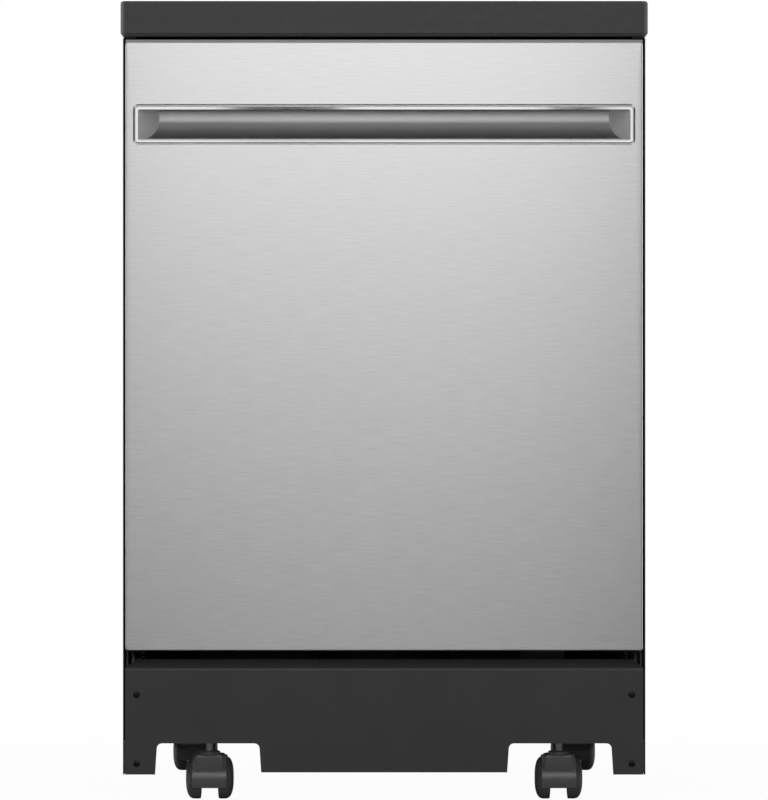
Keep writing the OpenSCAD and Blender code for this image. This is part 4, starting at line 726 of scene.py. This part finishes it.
# Blank rating plate: thin satin aluminium with rounded corners, riveted on.
alloy = clouded("satin_aluminium", "#a3a5a8", "#b1b3b5", 4.0, 0.35, 0.45, 1.0)
plate = np.array([np.insert(outline(-45 + d, 45 - d, 196 + d, 246 - d, 4 - d, 5), 1, back_y + y, axis=1)
                  for d, y in ((0.0, 0.0), (0.0, 0.4), (0.3, 0.6))])
rivet = turned([(0.0, 1.8), (0.5, 1.7), (0.9, 1.1), (1.0, 0.0)], (0, back_y + 0.6, 0), 1, 16)
rivets = moved(rivet, [(x, 0, z) for x in (-40, 40) for z in (201, 241)])
make("rating_plate", joined(skin(plate), rivets), alloy, "cabinet")


# ---------------------------------------------------------- tub and gasket
# Tub and inner door are deep drawn from thin stainless sheet, bright rolled and left plain.
# Shallow beads stiffen the walls. The gasket is pushed into a fold round the mouth.

# Bright-rolled stainless: cool, softly mirrored, a little uneven where the sheet was drawn.
drawn = clouded("drawn_stainless", "#b9bbbd", "#c1c3c4", 120.0, 0.27, 0.33, 1.0, detail=1.0)
coat(drawn, "tub", "door_liner")

tub_x, tub_y = extent("tub")[1, :2] - 1.2
rear_beads = [bead(x, z0, z1, tub_y, 22, 2.0, -1) for z0, z1 in ((300, 590), (650, 800))
              for x in (-230, -170, -110, 110, 170, 230)]
points, faces = joined(*[bead(y, z0, z1, -tub_x, 24, 2.0) for z0, z1 in ((300, 560), (660, 820))
                         for y in (-170, -60, 60, 170)])
wall_beads = mirrored((points[:, [1, 0, 2]], [f[:, ::-1] for f in faces]))
make("tub_beads", joined(*rear_beads, wall_beads), drawn, "cabinet", sharp=60)

liner_y = extent("door_liner")[1, 1] - 0.2
liner_beads = [bead(x, z0, z1, liner_y, 26, 2.2) for z0, z1 in ((250, 430), (640, 830))
               for x in (-200, -120, -40, 40, 120, 200)]
make("liner_beads", joined(*liner_beads), drawn, "door", sharp=60)

# EPDM rubber, black: matt, with a faint bloom.
rubber = clouded("epdm_rubber", "#161617", "#212122", 5.0, 0.5, 0.65, Specular_IOR_Level=0.35)


def swept(path, section):
    """Section (across, y) carried along a flat path (x, z): point = path + across * unit side of path."""
    ahead = np.gradient(path, axis=0)
    side = np.column_stack([ahead[:, 1], -ahead[:, 0]]) / np.linalg.norm(ahead, axis=1, keepdims=True)
    flat = path[:, None] + side[:, None] * section[None, :, :1]
    return skin(np.stack([flat[..., 0], np.broadcast_to(section[:, 1], flat.shape[:2]), flat[..., 1]], -1))


# The gasket goes up one side of the mouth, over the top and down the other, 4.5 mm inside its CAD box.
(_, _, mouth_z0), (mouth_x, _, mouth_z1) = extent("tub_gasket") + [[0], [-4.5]]
mouth = np.concatenate([[(-mouth_x, mouth_z0), (-mouth_x, mouth_z1 - 16)],
                        arc(8 - mouth_x, mouth_z1 - 8, 8, 180, 90, 8),
                        arc(mouth_x - 8, mouth_z1 - 8, 8, 90, 0, 8),
                        [(mouth_x, mouth_z1 - 16), (mouth_x, mouth_z0)]])
left = np.array([(-4.5, -258.0), (-4.5, -258.8), (-3.3, -259.2), (-3.0, -260.5), (-1.8, -261.4)])
bulb = np.concatenate([left, [(0.0, -261.7)], left[::-1] * (-1, 1)])
make("mouth_gasket", swept(mouth, bulb), rubber, "cabinet", ["tub_gasket"])

# Foam tape of the same rubber between the sheets' top edges and the worktop.
tape = [bar(s * 293.6 - 7.2, s * 293.6 + 7.2, -311.0, 305.0, 884.0, 886.0, 0.4) for s in (-1, 1)]
tape.append(bar(-286.0, 286.0, 300.5, 305.4, 884.0, 886.0, 0.4))
make("worktop_tape", joined(*tape), rubber, "cabinet")

# Needled cotton and bitumen felt round the tub: grey-brown, with loose fibres.
felted = clouded("needled_felt", "#4b4742", "#67625a", 2.2, 0.85, 0.98, detail=6.0, depth=0.5,
                 Specular_IOR_Level=0.15, Sheen_Weight=0.3)
coat(felted, "sound_blanket")


# ------------------------------------------------- springs, latch and rails
# Door springs are coiled music wire with hooks at both ends, hung beside the hinge arms.
# Strike and hook are stamped and zinc plated, and the rack rails are roll formed.

# Phosphated spring wire with oil: dark grey steel.
wire = clouded("oiled_spring_wire", "#6a6c6f", "#808285", 2.5, 0.3, 0.45, 1.0)

coils = 14
turn = np.linspace(0, 1, coils * 18 + 1)
coil_r = 4.5 * np.clip(np.sin(math.pi * turn) * 12, 0.05, 1)
(_, y0, low), (x1, y1, high) = extent("door_springs")
spring_x, spring_y = x1 - 5.5, (y0 + y1) / 2
helix = np.stack([spring_x + coil_r * np.cos(2 * coils * math.pi * turn),
                  spring_y + coil_r * np.sin(2 * coils * math.pi * turn),
                  low + 8 + (high - low - 16) * turn], -1)
hooks = [turned([(z0, 0.0), (z0, 0.9), (z1, 0.9), (z1, 0.0)], (spring_x, spring_y, 0), 2, 8)
         for z0, z1 in ((low + 0.1, low + 9), (high - 9, high - 0.1))]
springs = mirrored(joined(rod(helix, 0.95, (0, 0, 1), 6), *hooks))
make("door_spring_coils", springs, wire, "cabinet", ["door_springs"], sharp=50)

# Roll-formed stainless for the rails: brighter than the tub, with fine lines along the pull.
rolled, tree, shader, mm = finish_of("rolled_stainless", 1.0)
lines = add(tree, "ShaderNodeMapping", {"Vector": mm, "Scale": (1.5, 0.02, 1.5)})
streak = add(tree, "ShaderNodeTexNoise", {"Vector": lines.outputs[0], "Scale": 1.0, "Detail": 3.0})
toned(tree, shader, streak.outputs[0], "#aeb0b2", "#bfc1c2")
roughened(tree, shader, streak, 0.25, 0.36)
coat(rolled, "rack_rails")

# Nickel-chrome alloy sheath of the heating element: browned by heat.
sheath = clouded("heater_sheath", "#5f5850", "#7d756b", 20.0, 0.38, 0.5, 1.0, detail=4.0)
coat(sheath, "heating_element")

# Etched stainless screen: rows of fine holes that look like dark dots.
screen, tree, shader, mm = finish_of("etched_screen", 1.0, Roughness=0.35)
holes = add(tree, "ShaderNodeTexVoronoi", {"Vector": mm, "Scale": 1 / 1.8, "Randomness": 0.0})
dots = add(tree, "ShaderNodeMapRange", {"Value": holes.outputs["Distance"], "From Min": 0.22,
                                        "From Max": 0.3})
toned(tree, shader, dots.outputs[0], "#2a2b2c", "#b2b4b6")
relief(tree, shader, dots.outputs[0], 0.15)
coat(screen, "filter")


# -------------------------------------------------------- moulded fittings
# Dispenser, float, feed tube, valve, pumps and spray arms are injection moulded polypropylene.
# Light grey where they meet the dishes, dark and mineral filled under the tub.

# Light grey polypropylene: satin and a little cloudy.
poly = clouded("polypropylene_grey", "#8d9296", "#969b9f", 12.0, 0.34, 0.46, Specular_IOR_Level=0.45)
coat(poly, "base_pan", "inlet_valve", "latch_housing", "water_feed_tube", "rear_connections")

# Mineral-filled polypropylene: charcoal, with a dry speckle.
filled = clouded("mineral_polypropylene", "#2c2d2f", "#3b3c3e", 1.8, 0.48, 0.6, detail=4.0, depth=0.04,
                 Specular_IOR_Level=0.4)
coat(filled, "sump", "circulation_pump", "drain_pump", "pump_impeller")

# Grey polypropylene of the cutlery basket, a shade darker than the wires.
crate = clouded("basket_polypropylene", "#6d7276", "#777c80", 10.0, 0.38, 0.5, Specular_IOR_Level=0.45)
coat(crate, "silverware_basket")


def spray_arm(half, y0, z0):
    """Hollow arm as rings along x: half-width 26 at the hub to 17.7 at round tips, times sqrt(1 - tip ** 2).
    Section: a squared oval, (cos a ** 0.6, sin a ** 0.75) with their signs kept."""
    root, end = 26, 17.7
    x = half * np.sin(np.linspace(-math.pi / 2, math.pi / 2, 61))
    wide = root - (root - end) * np.clip((abs(x) - 18) / (half - 36), 0, 1)
    tip = np.clip((abs(x) - (half - end)) / end, 0, 1)
    wide = wide * np.sqrt(np.clip(1 - tip ** 2, 0.0004, 1))
    tall = 5.9 * (1 - 0.9 * tip ** 4)
    a = np.linspace(0, 2 * math.pi, 28, endpoint=False)
    c, s = np.cos(a), np.sin(a)
    body = skin(np.stack([np.broadcast_to(x[:, None], (61, 28)),
                          y0 + wide[:, None] * np.sign(c) * abs(c) ** 0.6,
                          z0 + 6.4 + tall[:, None] * np.sign(s) * abs(s) ** 0.75], -1))
    cap = turned([(0.2, 6.2), (0.2, 18.0), (12.2, 18.0), (12.8, 17.2), (12.9, 8.0), (12.9, 6.2), (0.2, 6.2)],
                 (0, y0, z0), 2, 40)
    nozzle = turned([(9.0, 3.4), (12.4, 3.2), (12.9, 2.6), (12.9, 1.4), (11.4, 1.2), (11.4, 0.0)],
                    (0, 0, z0), 2, 16)
    jets = [(s * i * (half - 14) / 6, y0 + s * 6, 0) for s in (-1, 1) for i in range(1, 7)]
    return joined(body, cap, moved(nozzle, jets))


for level in ("lower", "upper"):
    (_, y0, z0), (half, y1, _) = extent(f"{level}_spray_arm")
    make(f"{level}_arm_moulding", spray_arm(half, (y0 + y1) / 2, z0), poly, f"{level}_spray_arm",
         [f"{level}_spray_arm"])

low, high = extent("float_dome")
cup = turned([(0.0, 0.0), (0.0, 5.0), (25.0, 5.0), (25.0, 17.4), (25.0, 19.0), (46.0, 19.0), (51.5, 17.6),
              (55.5, 13.5), (57.2, 7.0), (57.5, 0.0)], (*(low + high)[:2] / 2, low[2]), 2, 40)
make("float_cup", cup, poly, "float", ["float_dome"])


# --------------------------------------------------- dispenser and console
# Detergent lid slides in tracks of the dispenser, and the rinse cap turns a quarter to open.
# The console strip on the door's top edge is black, with five soft grey push buttons.

# Rings of the moulding: tank, flange, raised rim and face, each as (inset from the flange's edge, y), then
# the detergent cup as (inset from its mouth, corner radius, y).
(_, tank_y, well_z0), (well_x, _, well_z1) = extent("dispenser_body")
body = [(4, tank_y), (4, -262.2), (0, -262.0), (0, -259.2), (0.6, -257.8), (1.6, -257.2), (3.8, -257.2),
        (4.6, -258.0)]
well = [np.insert(outline(d - well_x, well_x - d, well_z0 + d, well_z1 - d, 12 - d), 1, y, axis=1)
        for d, y in body]
well += [np.insert(outline(8 + d, 72 - d, 522 + d, 586 - d, r), 1, y, axis=1)
         for d, r, y in ((0, 5.0, -258.0), (0.6, 4.6, -258.6), (2, 4.0, -283.0))]
well = skin(np.array(well))
tracks = [bar(-84, 80, -258.4, -254.6, z, z + 2, 0.5) for z in (515.6, 590.4)]
catch = bar(80.5, 87.5, -258.4, -255.6, 546, 562, 0.8)
make("dispenser_moulding", joined(well, *tracks, catch), poly, "door", ["dispenser_body"])

# Acrylic of the rinse aid sight glass: nearly black, as painted shade of the closed tank behind it.
acrylic, tree, shader, mm = finish_of("acrylic_painted_tank_shade", Specular_IOR_Level=0.5, Roughness=0.08)
mottled(tree, shader, mm, "#14191c", "#1b2226", 6.0)
lens = turned([(-258.2, 6.5), (-257.4, 6.5), (-256.9, 5.9), (-256.4, 3.6), (-256.2, 0.0)], (0, 0, 486), 1, 32)
make("sight_glass", lens, acrylic, "door")

(x0, y0, z0), (x1, _, z1) = extent("dispenser_lid")
ridges = [bar(x0 + 13, x1 - 13, -255.0, -253.55, z, z + 2.4, 0.6) for z in z0 + 6 + 5 * np.arange(5)]
lid = joined(bar(x0, x1, y0, -254.8, z0, z1, 1.2), *ridges)
make("lid_slide", lid, acetal, "dispenser_lid", ["dispenser_lid"])

# Round cap with 24 grips along its rim, as rings (y, r), and a bar across it for the fingers.
cap_x, _, cap_z = extent("rinse_cap").mean(axis=0)
t = np.linspace(0, 2 * math.pi, 96, endpoint=False)
knurl = 19.4 + 0.6 * np.cos(24 * t)
grip = [(-270.0, 13.0), (-259.5, 13.0), (-259.4, knurl - 0.4), (-258.9, knurl), (-256.4, knurl),
        (-255.7, knurl - 0.7), (-255.4, 16.0)]
knob = skin(np.array([np.stack([cap_x + r * np.cos(t), np.full(96, y), cap_z + r * np.sin(t)], -1)
                      for y, r in grip]))
cap = joined(knob, bar(cap_x - 14, cap_x + 14, -256.4, -253.1, cap_z - 3, cap_z + 3, 0.8))
make("cap_knob", cap, acetal, "rinse_cap", ["rinse_cap"])

# ABS of the console: black, spark-eroded texture.
abs_black = clouded("abs_black", "#18191a", "#202122", 1.2, 0.42, 0.54, depth=0.03,
                    Specular_IOR_Level=0.45)
coat(abs_black, "control_console")

# Soft-touch paint of the buttons: mid grey, matt and a little uneven from wear.
touch = clouded("soft_touch_grey", "#8a8d90", "#96999c", 3.0, 0.5, 0.62, Specular_IOR_Level=0.35)
# Button rings from the console's top to the dished face as (half width, half depth, corner radius, z).
rows = [(13.0, 8.0, 2.0, 875.1), (13.0, 8.0, 2.0, 876.2), (12.8, 7.8, 2.0, 876.4), (11.0, 6.0, 2.5, 876.4),
        (11.0, 6.0, 2.5, 880.2), (10.8, 5.8, 2.4, 880.55), (10.4, 5.4, 2.2, 880.7), (9.0, 4.2, 1.8, 880.6),
        (6.0, 2.2, 1.2, 880.35)]
button = skin(np.array([np.insert(outline(-a, a, -b, b, r), 2, z, axis=1) for a, b, r, z in rows]))
for label in ("power", "cycle", "heat", "delay", "start"):
    x, y, _ = extent(f"button_{label}").mean(axis=0)
    make(f"button_{label}_cap", moved(button, (x, y, 0)), touch, f"button_{label}",
         [f"button_{label}"])

# Circuit board: green solder mask, copper runs showing faintly under it.
mask, tree, shader, mm = finish_of("solder_mask", Specular_IOR_Level=0.5, Roughness=0.3)
runs = add(tree, "ShaderNodeTexBrick", {"Vector": mm, "Scale": 1 / 6.0, "Color1": linear("#1f5a39"),
                                        "Color2": linear("#236340"), "Mortar": linear("#3a7c4c"),
                                        "Mortar Size": 0.06})
tree.links.new(runs.outputs["Color"], shader.inputs["Base Color"])
coat(mask, "control_board")
